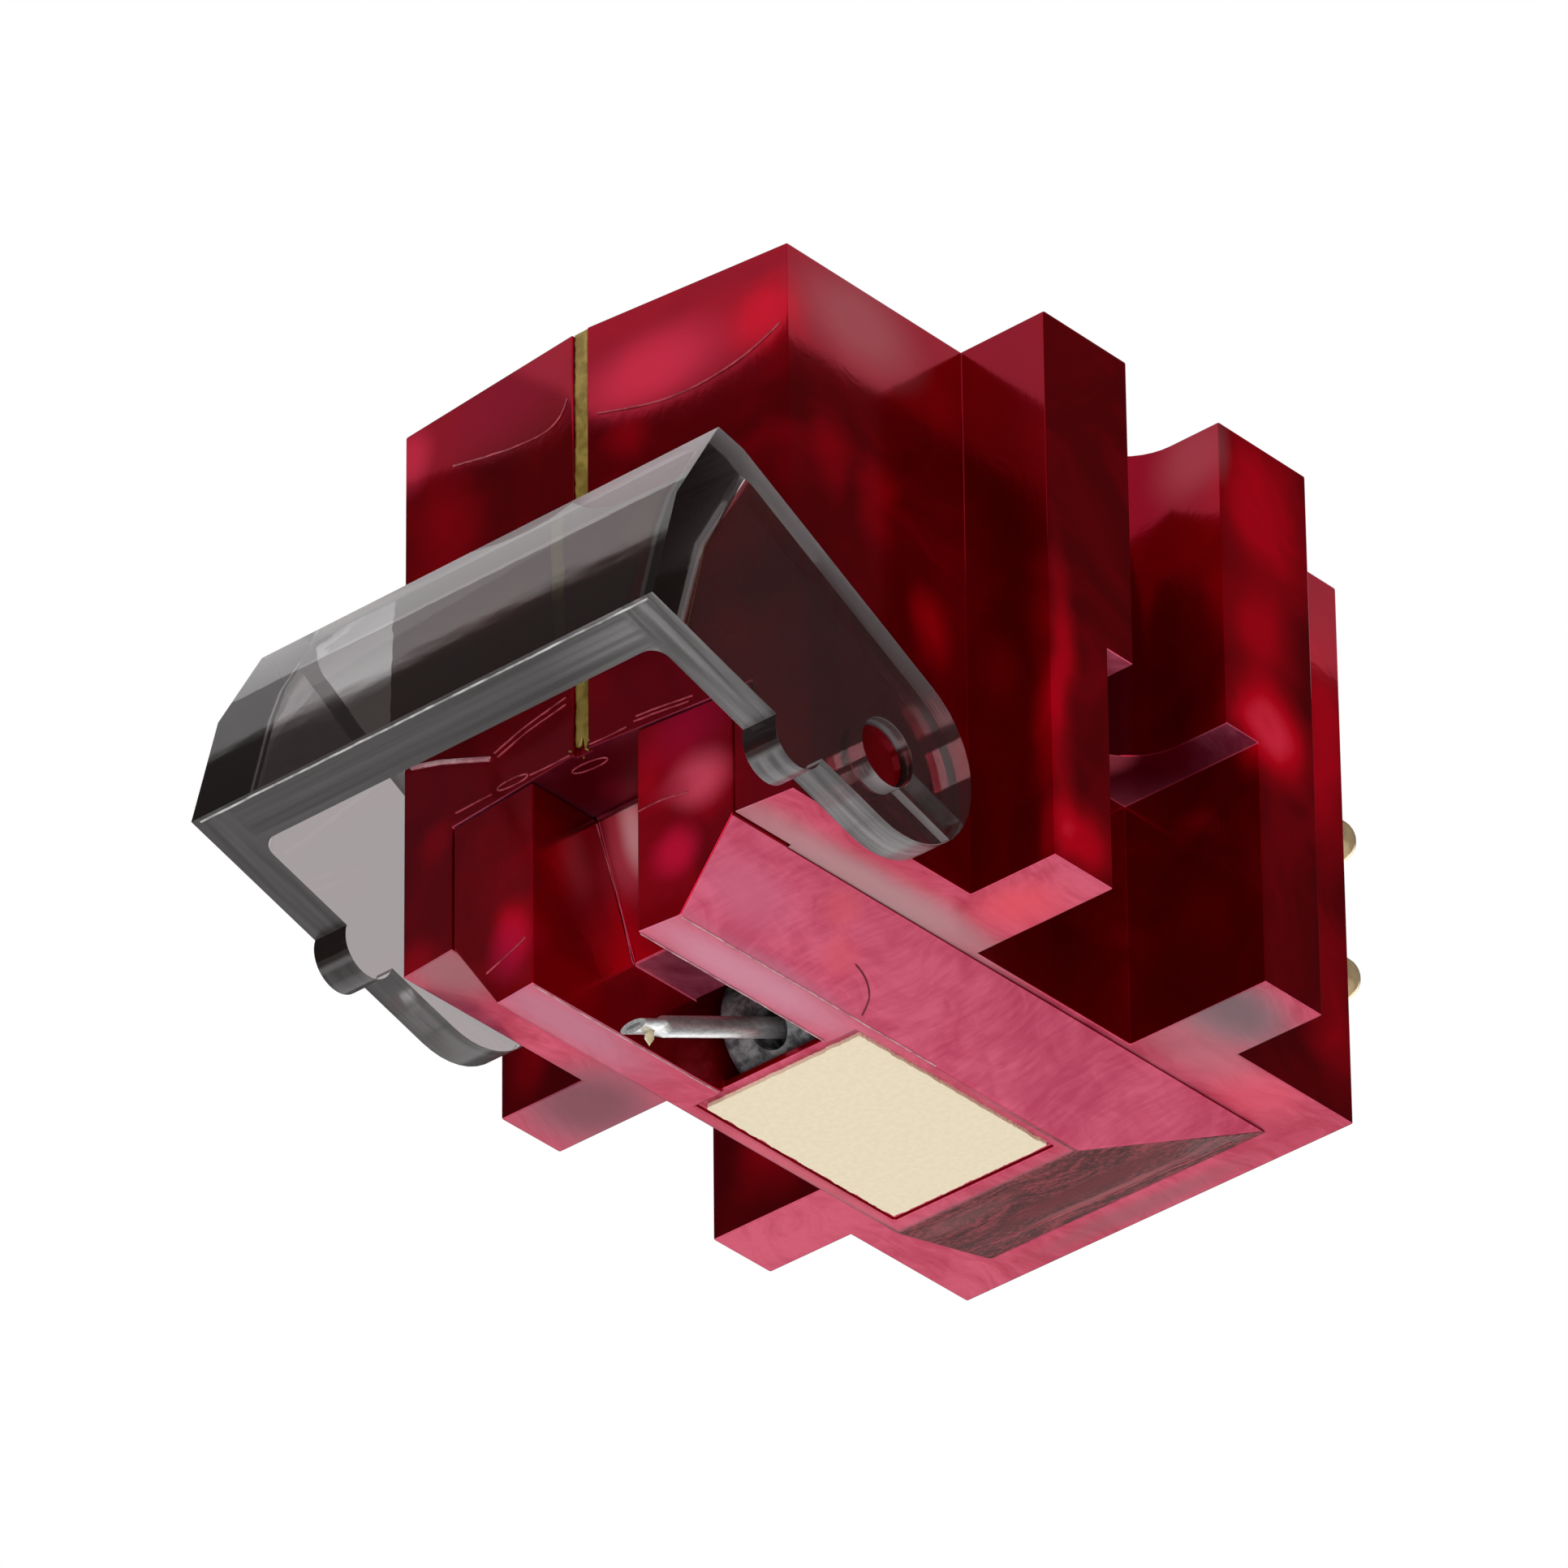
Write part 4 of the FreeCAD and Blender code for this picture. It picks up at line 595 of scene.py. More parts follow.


# Where the pearl drifts, and where painted shade, painted highlights and painted reflections change the
# plastic's colour, with some of its own tone
SHELL_SWIRLS = (
    Swirl((-5.3, -9.7, -0.5), (1.0, 1.2, 1.1), 0.24),
    Swirl((-3.2, -9.8, -0.8), (2.4, 1.2, 1.6), 0.12),
    Swirl((-3.9, -9.8, -3.2), (1.6, 1.2, 1.8), 0.12),
    Swirl((1.6, -9.9, -1.6), (1.8, 1.2, 1.0), 0.26),
    Swirl((4.9, -9.7, -1.5), (1.4, 1.2, 1.3), 0.34),
    Swirl((1.1, -9.9, -3.1), (0.9, 1.0, 1.0), 0.20),
    Swirl((-4.6, -9.7, -10.6), (0.9, 1.2, 0.9), 0.20),
    Swirl((-4.9, -9.7, -13.4), (1.0, 1.2, 0.8), 0.26),
    Swirl((5.4, -6.9, -5.4), (1.0, 0.9, 2.4), 0.16),
    Swirl((5.4, -8.4, -4.6), (1.0, 0.9, 1.8), 0.14),
    Swirl((5.4, -5.2, -7.7), (1.0, 1.1, 1.3), 0.26),
    Swirl((7.7, -4.0, -9.6), (0.9, 0.7, 5.5), 0.36),
    Swirl((7.7, -3.4, -12.9), (0.9, 1.3, 1.3), 0.40),
    Swirl((7.7, 3.0, -1.4), (0.9, 2.4, 3.0), 0.42),
    Swirl((7.7, 2.8, -4.8), (0.9, 2.0, 1.8), 0.34),
    Swirl((7.7, 2.8, -7.1), (0.9, 1.9, 1.9), 0.72),
    Swirl((7.7, 1.5, -13.4), (0.9, 1.0, 1.6), 0.12),
    Swirl((5.4, 7.2, -4.5), (1.0, 2.0, 5.0), 0.43),
    Swirl((5.4, 7.4, -10.6), (1.0, 1.6, 3.4), 0.22),
    Swirl((-7.0, -4.2, -12.3), (1.0, 1.0, 1.3), 0.32),
    Swirl((-6.0, 2.5, -11.9), (1.7, 1.0, 1.7), 0.36),
)
SHELL_LIGHT_AND_TONE_PATCHES = (
    # Undersides of the lugs and strips: greyer and paler tones, partly painted reflection; the pale strip at
    # x 4.1 is a painted highlight
    LightAndTonePatch((6.4, 2.8, -13.5), (1.7, 3.0, 0.5), 0.95, (0.15, 0.105, 0.12), matt=0.9),
    LightAndTonePatch((4.1, -6.0, -13.5), (1.0, 7.0, 0.5), 0.95, (0.45, 0.33, 0.34), matt=0.6),
    LightAndTonePatch((5.0, 3.4, -13.5), (1.6, 3.0, 0.5), 0.5, (0.30, 0.17, 0.19), matt=0.6),
    LightAndTonePatch((5.9, -3.1, -13.5), (1.6, 1.3, 0.5), 0.8, (0.70, 0.10, 0.13)),
    LightAndTonePatch((4.6, 5.8, -13.5), (1.4, 1.5, 0.5), 0.6, (0.66, 0.11, 0.16)),
    LightAndTonePatch((0.0, 7.7, -13.5), (4.6, 0.6, 0.5), 0.7, (0.20, 0.05, 0.07), matt=0.6),
    LightAndTonePatch((-5.9, -3.3, -13.5), (2.7, 2.6, 0.5), 0.9, (0.14, 0.038, 0.056), matt=0.85),
    LightAndTonePatch((-4.4, -9.2, -13.5), (1.4, 2.0, 0.5), 0.9, (0.24, 0.11, 0.12), matt=0.6),
    # Painted shade on the ceiling of the channel behind the prow and on the ceilings of the pockets
    LightAndTonePatch((0.0, -9.0, -10.5), (6.0, 3.6, 0.6), 1.0, (0.055, 0.0, 0.003), matt=0.7),
    LightAndTonePatch((-0.3, -8.4, -10.5), (0.8, 0.8, 0.6), 0.7, (0.14, 0.004, 0.015)),
    LightAndTonePatch((5.6, 1.4, -7.6), (3.6, 3.6, 0.5), 1.0, (0.055, 0.0, 0.004), matt=0.9),
    # Painted shade on the side faces between the lugs
    LightAndTonePatch((5.1, 0.2, -4.5), (2.6, 2.3, 8.0), 0.92, (0.016, 0.0, 0.0), False),
    LightAndTonePatch((5.1, 0.4, -10.8), (2.6, 2.6, 4.5), 0.75, (0.016, 0.0, 0.0), False),
    LightAndTonePatch((6.6, -4.3, -5.5), (1.5, 0.5, 9.0), 0.92, (0.022, 0.0, 0.0), False),
    # Painted reflection of the stand in the bands at the top of the front and side faces
    LightAndTonePatch((-2.4, -9.9, -0.6), (3.2, 1.0, 1.6), 0.6, (0.16, 0.001, 0.020), False),
    LightAndTonePatch((-5.2, -9.7, -0.7), (0.9, 1.0, 1.2), 0.6, (0.62, 0.030, 0.080), False),
    LightAndTonePatch((1.9, -9.95, -1.7), (2.9, 1.0, 1.3), 0.6, (0.58, 0.036, 0.085), False),
    LightAndTonePatch((5.4, -7.4, -0.9), (0.6, 2.6, 1.7), 0.6, (0.20, 0.13, 0.14), False),
    LightAndTonePatch((7.0, 1.5, -0.6), (1.6, 0.6, 1.3), 0.5, (0.30, 0.10, 0.12), False),
    # Painted highlight along the edge of a pocket's ceiling
    LightAndTonePatch((4.9, 0.9, -7.6), (0.9, 0.7, 0.5), 0.8, (0.50, 0.080, 0.120)),
)
KEEL_SWIRLS = (
    Swirl((-2.1, -10.0, -14.0), (0.9, 1.2, 1.2), 0.40),
    Swirl((1.9, -10.0, -11.6), (1.5, 1.2, 1.6), 0.30),
    Swirl((3.2, -10.0, -12.6), (1.0, 1.2, 1.2), 0.25),
)
KEEL_LIGHT_AND_TONE_PATCHES = (
    # Painted highlight on the wedge in the channel
    LightAndTonePatch((-0.75, -7.7, -11.3), (1.0, 0.9, 2.2), 0.9, (0.62, 0.080, 0.130), False),
    LightAndTonePatch((-0.55, -7.8, -11.1), (0.50, 0.9, 1.3), 1.0, (0.90, 0.50, 0.54), False),
    # Painted shade in the channel and on the ceiling under the keel
    LightAndTonePatch((-1.2, -7.2, -12.8), (1.6, 1.0, 1.2), 0.8, (0.10, 0.0, 0.004), False),
    LightAndTonePatch((-1.45, -8.3, -12.2), (0.3, 1.5, 3.0), 0.95, (0.016, 0.0, 0.0), False, 0.6),
    LightAndTonePatch((0.9, -6.2, -13.5), (3.0, 1.6, 0.5), 1.0, (0.030, 0.0, 0.001), matt=0.85),
    # Painted highlight on the right of the prow's front
    LightAndTonePatch((2.8, -9.9, -10.9), (1.5, 1.0, 1.3), 0.60, (0.42, 0.002, 0.040), False),
    LightAndTonePatch((3.05, -9.9, -12.3), (1.1, 1.0, 1.0), 0.85, (0.80, 0.090, 0.165), False),
    LightAndTonePatch((2.4, -9.9, -13.9), (0.9, 1.0, 0.9), 0.70, (0.62, 0.006, 0.050), False),
    LightAndTonePatch((2.4, -9.9, -12.35), (0.8, 1.0, 0.5), 0.5, (0.40, 0.020, 0.050), False),
    # Feet and the right slope: greyer and pinker tones, with painted highlights
    LightAndTonePatch((-2.0, -8.6, -15.46), (1.0, 4.4, 0.4), 0.8, (0.38, 0.19, 0.27), matt=0.4),
    LightAndTonePatch((-2.4, -1.0, -15.46), (0.8, 4.0, 0.4), 0.6, (0.45, 0.16, 0.19)),
    LightAndTonePatch((-2.2, -9.95, -14.3), (0.9, 1.0, 1.1), 0.55, (0.42, 0.004, 0.050), False),
    LightAndTonePatch((2.0, -7.4, -15.46), (1.0, 5.4, 0.4), 0.9, (0.54, 0.27, 0.37), matt=0.4),
    LightAndTonePatch((3.1, -8.6, -14.5), (0.9, 2.2, 1.2), 0.5, (0.80, 0.26, 0.40)),
    LightAndTonePatch((3.6, -6.1, -13.9), (0.6, 0.8, 0.7), 0.6, (0.85, 0.16, 0.20)),
    LightAndTonePatch((3.1, -5.5, -14.7), (0.6, 0.8, 0.8), 0.6, (0.85, 0.15, 0.20)),
    LightAndTonePatch((0.4, 5.2, -14.3), (3.8, 0.95, 1.5), 0.9, (0.12, 0.003, 0.008)),
    LightAndTonePatch((-1.6, 3.5, -15.0), (2.2, 0.9, 0.8), 0.45, (0.22, 0.09, 0.09)),
    LightAndTonePatch((0.2, 6.25, -13.9), (3.8, 0.34, 0.6), 0.8, (0.36, 0.08, 0.09)),
)

# The finishes of the pieces
SHELL_RED = PearlPlastic("ruby_pearl_shell", SHELL_SWIRLS, SHELL_LIGHT_AND_TONE_PATCHES)
KEEL_RED = PearlPlastic("ruby_pearl_keel", KEEL_SWIRLS, KEEL_LIGHT_AND_TONE_PATCHES, level=0.32)
GUARD_SMOKE = SmokeAcrylic("smoke_acrylic")
CUE_GOLD = Mottled("cue_gold_paint", (0.34, 0.245, 0.045), (0.20, 0.13, 0.015), 0.38, 0.15, 3.2, 0.01)
LABEL_CREAM = Mottled("label_cream_plate", (0.90, 0.78, 0.57), (0.86, 0.735, 0.52), 0.6, 0.0, 7.0, 0.001)
FLASH_RED = Mottled("flash_red", (0.46, 0.06, 0.09), (0.22, 0.012, 0.026), 0.16, 0.0, 2.0)
GUARD_GLINT = Mottled("guard_glint", (0.60, 0.585, 0.58), (0.22, 0.21, 0.21), 0.2, 0.0, 1.4)
FLASH_DARK = Mottled("flash_dark", (0.16, 0.008, 0.020), (0.08, 0.002, 0.008), 0.25, 0.0, 2.0)
# Pale line for painted highlights
PALE_HIGHLIGHT_LINE = Mottled("pale_highlight_line", (0.66, 0.40, 0.42), (0.42, 0.14, 0.17), 0.20, 0.0, 2.0)
ALUMINIUM = Mottled("drawn_aluminium", (0.88, 0.88, 0.88), (0.66, 0.66, 0.67), 0.34, 0.85, 5.0, 0.004,
                    (6.0, 0.8, 1.5))
DIAMOND = Gem("stylus_diamond")
RUBBER = Mottled("dusty_rubber", (0.24, 0.245, 0.25), (0.045, 0.048, 0.052), 0.75, 0.0, 3.4, 0.05)
COIL_COPPER = Mottled("enamelled_copper", (0.72, 0.30, 0.12), (0.45, 0.15, 0.05), 0.30, 0.9, 6.0)
SOFT_IRON = Mottled("soft_iron", (0.52, 0.52, 0.53), (0.34, 0.34, 0.35), 0.38, 0.9, 2.5, 0.004)
NICKEL = Mottled("nickel_plate", (0.70, 0.68, 0.63), (0.55, 0.53, 0.49), 0.22, 1.0, 1.6, 0.002)
STEEL = Mottled("bright_steel", (0.70, 0.70, 0.72), (0.48, 0.48, 0.50), 0.22, 1.0, 6.0)
BRASS = Mottled("turned_brass", (0.86, 0.66, 0.30), (0.66, 0.46, 0.16), 0.24, 1.0, 4.0,
                stretch=(0.6, 6.0, 0.6))
PIN_GOLD = Mottled("pin_gold_plate", (0.88, 0.66, 0.38), (0.74, 0.52, 0.27), 0.26, 0.55, 2.0)
BOARD_GREEN = Mottled("board_laminate", (0.06, 0.25, 0.13), (0.03, 0.15, 0.07), 0.5, 0.0, 5.0, 0.004)
TERMINAL_BLACK = Mottled("terminal_moulding", (0.030, 0.030, 0.032), (0.014, 0.014, 0.015), 0.45, 0.0, 2.0,
                         0.006)
SLEEVES = {node: Mottled(name, light, dark, 0.5, 0.0, 3.0, 0.01) for node, name, light, dark in (
    ("lead_upper_left", "lead_white", (0.82, 0.81, 0.78), (0.66, 0.65, 0.62)),
    ("lead_lower_left", "lead_blue", (0.05, 0.14, 0.55), (0.03, 0.08, 0.36)),
    ("lead_upper_right", "lead_red", (0.62, 0.03, 0.03), (0.42, 0.015, 0.015)),
    ("lead_lower_right", "lead_green", (0.04, 0.34, 0.10), (0.02, 0.22, 0.06)))}
FLOOR_PAPER = Mottled("floor_paper", (0.90, 0.90, 0.90), (0.885, 0.885, 0.885), 0.9, 0.0, 0.02)
STAND_GLOW = Glow("stand_glow")


# Meshes and pieces
def mesh_of(name: str, places_mm: Iterable[Sequence[float]], edges: Sequence = (),
            faces: Sequence = ()) -> bpy.types.Mesh:
    """Makes a mesh from corners in millimetres.

    Args:
        name: Its name.
        places_mm: Its corners.
        edges: Pairs of corners.
        faces: Rings of corners.

    Returns:
        The mesh, in metres.
    """
    mesh = bpy.data.meshes.new(name)
    mesh.from_pydata([[value * MM for value in place] for place in places_mm], edges, faces)
    return mesh


def shown(name: str, data: bpy.types.ID) -> Piece:
    """Makes an object of a mesh, lamp or camera.

    Args:
        name: Its name.
        data: What it shows.

    Returns:
        The object, in the scene.
    """
    piece = bpy.data.objects.new(name, data)
    bpy.context.scene.collection.objects.link(piece)
    return piece


def settle(piece: Piece) -> Piece:
    """Turns the piece's live modifiers into a plain mesh.

    Args:
        piece: The object with its modifiers.

    Returns:
        The same object.
    """
    evaluated = piece.evaluated_get(bpy.context.evaluated_depsgraph_get())
    mesh = bpy.data.meshes.new_from_object(evaluated)
    mesh.name = piece.data.name
    piece.modifiers.clear()
    piece.data = mesh
    return piece


def moulded(node: str, name: str, edge_mm: float) -> Piece:
    """Copies a node's mesh, joins its flat faces and rounds its crisp edges.

    Args:
        node: The CAD node.
        name: Name of the new piece.
        edge_mm: Width of the rounding.

    Returns:
        The new piece, with no material.
    """
    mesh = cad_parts[node].data.copy()
    mesh.name = name
    mesh.materials.clear()
    sharp = math.radians(SHARP_DEGREES)
    work = bmesh.new()
    work.from_mesh(mesh)
    bmesh.ops.remove_doubles(work, verts=work.verts, dist=WELD_MM * MM)
    bmesh.ops.dissolve_limit(work, angle_limit=math.radians(FLAT_DEGREES), verts=work.verts,
                             edges=work.edges)
    for face in work.faces:
        face.smooth = True
    for edge in work.edges:
        edge.smooth = edge.is_manifold and edge.calc_face_angle() < sharp
    work.to_mesh(mesh)
    work.free()
    piece = shown(name, mesh)
    bevel = piece.modifiers.new("edge_rounding", "BEVEL")
    bevel.width = edge_mm * MM
    bevel.segments = EDGE_SEGMENTS
    bevel.limit_method = "ANGLE"
    bevel.angle_limit = sharp
    bevel.harden_normals = True
    return settle(piece)


def dress(piece: Piece, finish: Finish, body: Body, slot: Slot, *nodes: str) -> None:
    """Gives a new piece its finish and body, and hides the nodes that it stands for.

    Args:
        piece: The object.
        finish: Its finish.
        body: The body that it rides on.
        slot: Not used.
        nodes: CAD nodes that it replaces.
    """
    piece.data.materials.clear()
    piece.data.materials.append(finish.material())
    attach(piece, body.value)
    if nodes:
        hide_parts(*nodes)
    LOG.info("%s: %d faces, %s", piece.name, len(piece.data.polygons), finish.name)


def paint(finish: Finish, *nodes: str) -> None:
    """Gives CAD nodes that are shown as they are their finish.

    Args:
        finish: The finish.
        nodes: The CAD nodes.
    """
    for node in nodes:
        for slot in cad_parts[node].material_slots:
            slot.material = finish.material()
        LOG.info("%s: %s", node, finish.name)


def box_of(node: str) -> tuple[Vector, Vector]:
    """Low and high corner of a CAD node, in millimetres."""
    axes = list(zip(*(vertex.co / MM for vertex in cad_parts[node].data.vertices)))
    return Vector([min(axis) for axis in axes]), Vector([max(axis) for axis in axes])


class Row(IntEnum):
    """Rows of the noise that tell one torn edge from another."""

    LEFT = 1
    RIGHT = 2
    END = 3
    FACE = 4
    PLATE = 10


def ragged(place_mm: float, row: int, depth_mm: float, scale: float = 1.0) -> float:
    """How far a torn edge runs back at a place.

    Args:
        place_mm: Place along the edge.
        row: The edge's row.
        depth_mm: The most that it runs back.
        scale: Teeth per millimetre.

    Returns:
        A depth between 0 and depth_mm.
    """
    coarse = noise.noise(Vector((place_mm * scale, row, 0.0)))
    fine = noise.noise(Vector((place_mm * scale * 4.0, row, 7.0)))
    return depth_mm * min(max(0.5 + 0.8 * coarse + 0.5 * fine, 0.0), 1.0)


# Shapes that repeat or follow a path
class ShapeTree(Graph):
    """A geometry tree with named inputs, ended as the export needs it."""

    SOCKETS = {float: "NodeSocketFloat", int: "NodeSocketInt"}

    def __init__(self, name: str, **sizes) -> None:
        """Starts the tree.

        Args:
            name: The tree's name.
            sizes: Named inputs with their plain values.
        """
        tree = bpy.data.node_groups.new(name, "GeometryNodeTree")
        super().__init__(tree)
        tree.interface.new_socket("Geometry", in_out="INPUT", socket_type="NodeSocketGeometry")
        for label, value in sizes.items():
            tree.interface.new_socket(label, in_out="INPUT", socket_type=self.SOCKETS[type(value)])
        tree.interface.new_socket("Geometry", in_out="OUTPUT", socket_type="NodeSocketGeometry")
        self.sizes = sizes
        self.entry = self.add("NodeGroupInput").outputs
        self.exit = self.add("NodeGroupOutput").inputs

    def ring(self, sides: int | Socket) -> Socket:
        """A circle as a curve, with the tree's radius."""
        return self.add("GeometryNodeCurvePrimitiveCircle", {
            "Resolution": sides, "Radius": self.entry["radius"]}, mode="RADIUS").outputs["Curve"]

    def tube(self, path: Socket, profile: Socket, caps: bool = False) -> Socket:
        """Sweeps a profile along a path, shaded smooth."""
        swept = self.add("GeometryNodeCurveToMesh", {"Curve": path, "Profile Curve": profile,
                                                     "Fill Caps": caps}).outputs["Mesh"]
        return self.add("GeometryNodeSetShadeSmooth", {"Geometry": swept}).outputs["Geometry"]

    def close(self, geometry: Socket, finish: Finish) -> None:
        """Makes instances real, gives them the finish and ends the tree.

        Args:
            geometry: What the tree made.
            finish: Its finish.
        """
        real = self.add("GeometryNodeRealizeInstances", {"Geometry": geometry})
        painted = self.add("GeometryNodeSetMaterial", {"Geometry": real.outputs["Geometry"],
                                                       "Material": finish.material()})
        self.join(painted.outputs["Geometry"], self.exit["Geometry"])

    def grow(self, name: str, mesh: bpy.types.Mesh, **changes) -> Piece:
        """Runs the tree on a mesh and keeps the plain result.

        Args:
            name: Name of the piece.
            mesh: What the tree starts from.
            changes: Sizes other than the tree's own.

        Returns:
            The new object, without its modifier.
        """
        piece = shown(name, mesh)
        modifier = piece.modifiers.new("shape", "NODES")
        modifier.node_group = self.tree
        for item in self.tree.interface.items_tree:
            if item.in_out == "INPUT" and item.name in self.sizes:
                modifier[item.identifier] = changes.get(item.name, self.sizes[item.name])
        return settle(piece)


def bead_tree(finish: Finish) -> ShapeTree:
    """A tree that runs an uneven bead along the edges of a mesh.

    Args:
        finish: The beads' finish.

    Returns:
        The tree.
    """
    tree = ShapeTree("bead_along_path", radius=0.03 * MM, step=0.06 * MM, wobble=0.03 * MM, sides=8,
                     lumps_per_m=1.6 / MM, thinnest=0.45, thickest=1.15)
    sizes = tree.entry
    path = tree.add("GeometryNodeMeshToCurve", {"Mesh": sizes["Geometry"]}).outputs["Curve"]
    eased = tree.add("GeometryNodeCurveSplineType", {"Curve": path}, spline_type="CATMULL_ROM")
    walked = tree.add("GeometryNodeResampleCurve", {
        "Curve": eased.outputs["Curve"], "Length": sizes["step"]}, mode="LENGTH").outputs["Curve"]
    place = tree.add("GeometryNodeInputPosition").outputs["Position"]
    lumps = tree.noise(place, sizes["lumps_per_m"], 2.0, 0.6)
    aside = tree.vector("SUBTRACT", lumps["Color"], (0.5, 0.5, 0.5))
    moved = tree.add("GeometryNodeSetPosition", {"Geometry": walked,
                                                 "Offset": tree.scaled(aside, sizes["wobble"])})
    swell = tree.spread(lumps["Fac"], 0.3, 0.7, sizes["thinnest"], sizes["thickest"])
    swollen = tree.add("GeometryNodeSetCurveRadius", {"Curve": moved.outputs["Geometry"], "Radius": swell})
    tree.close(tree.tube(swollen.outputs["Curve"], tree.ring(tree.entry["sides"]), caps=True), finish)
    return tree


def winding_tree(finish: Finish, layers: int = 4, wire_sides: int = 6,
                 corner_share: float = 0.25) -> ShapeTree:
    """A tree that winds square turns of wire in layers round the z axis.

    Args:
        finish: The wire's finish.
        layers: How many layers lie on each other.
        wire_sides: Sides of the wire's section.
        corner_share: The turn's rounding, as a share of its half width.

    Returns:
        The tree.
    """
    tree = ShapeTree("square_winding", half=0.188 * MM, radius=0.0165 * MM, pitch=0.034 * MM, turns=16)
    pitch, wire = tree.entry["pitch"], tree.entry["radius"]
    start = tree.times(pitch, tree.times(tree.minus(tree.entry["turns"], 1.0), -0.5))
    first, step = (tree.add("ShaderNodeCombineXYZ", {"Z": z}).outputs["Vector"] for z in (start, pitch))
    line = tree.add("GeometryNodeMeshLine", {"Count": tree.entry["turns"], "Start Location": first,
                                             "Offset": step}, mode="OFFSET").outputs["Mesh"]
    ring = tree.ring(wire_sides)
    joined = tree.add("GeometryNodeJoinGeometry")
    for layer in range(layers):
        half = tree.plus(tree.entry["half"], tree.times(wire, 2.0 * layer))
        side = tree.times(half, 2.0)
        square = tree.add("GeometryNodeCurvePrimitiveQuadrilateral", {"Width": side, "Height": side})
        turn = tree.add("GeometryNodeFilletCurve", {"Curve": square.outputs["Curve"], "Count": 3,
                                                    "Radius": tree.times(half, corner_share)}, mode="POLY")
        wound = tree.tube(turn.outputs["Curve"], ring)
        placed = tree.add("GeometryNodeInstanceOnPoints", {"Points": line, "Instance": wound})
        tree.join(placed.outputs["Instances"], joined.inputs["Geometry"])
    tree.close(joined.outputs["Geometry"], finish)
    return tree


@dataclass(frozen=True)
class BeadSet:
    """Thin raised lines of one finish along paths in millimetres, on one body."""

    name: str
    finish: Finish
    slot: Slot
    radius_mm: float
    paths: tuple[Path, ...]
    body: Body = Body.ROOT

    def build(self) -> None:
        """Runs a bead along each path."""
        places: list[Point] = []
        edges: list[tuple[int, int]] = []
        for path in self.paths:
            edges += [(len(places) + index, len(places) + index + 1) for index in range(len(path) - 1)]
            places += path
        piece = bead_tree(self.finish).grow(self.name, mesh_of(self.name, places, edges),
                                            radius=self.radius_mm * MM)
        dress(piece, self.finish, self.body, self.slot)


def oval(centre: Point, long_mm: float, wide_mm: float, across: Point, up: Point, count: int = 14) -> Path:
    """A closed path round an oval.

    Args:
        centre: Its middle.
        long_mm: Half its length.
        wide_mm: Half its width.
        across: Direction of its length.
        up: Direction of its width.
        count: Corners of the path.

    Returns:
        The path.
    """
    middle, along, side = Vector(centre), Vector(across), Vector(up)
    turns = [2 * math.pi * step / count for step in range(count + 1)]
    return tuple(tuple(middle + along * long_mm * math.cos(turn) + side * wide_mm * math.sin(turn))
                 for turn in turns)


# Paths of the thin raised lines, some of them painted highlights, and the crumbs of paint
# Painted highlight: a pale line across the prow's left front
PROW_HIGHLIGHT_BEADS = (
    ((-5.15, -9.68, -8.44), (-4.35, -9.76, -8.70), (-3.5, -9.84, -9.05), (-2.75, -9.91, -9.38)),
)
DARK_BEADS = (
    ((3.08, -5.13, -14.65), (3.00, -4.73, -14.77), (2.83, -4.42, -15.01), (2.60, -4.38, -15.35)),
)
# Painted highlight along the guard's lower front edge
GUARD_BEADS = (
    ((-6.2, -14.94, -11.80), (-3.0, -14.94, -11.80), (0.0, -14.94, -11.80), (3.0, -14.94, -11.80),
     (6.2, -14.94, -11.80)),
)
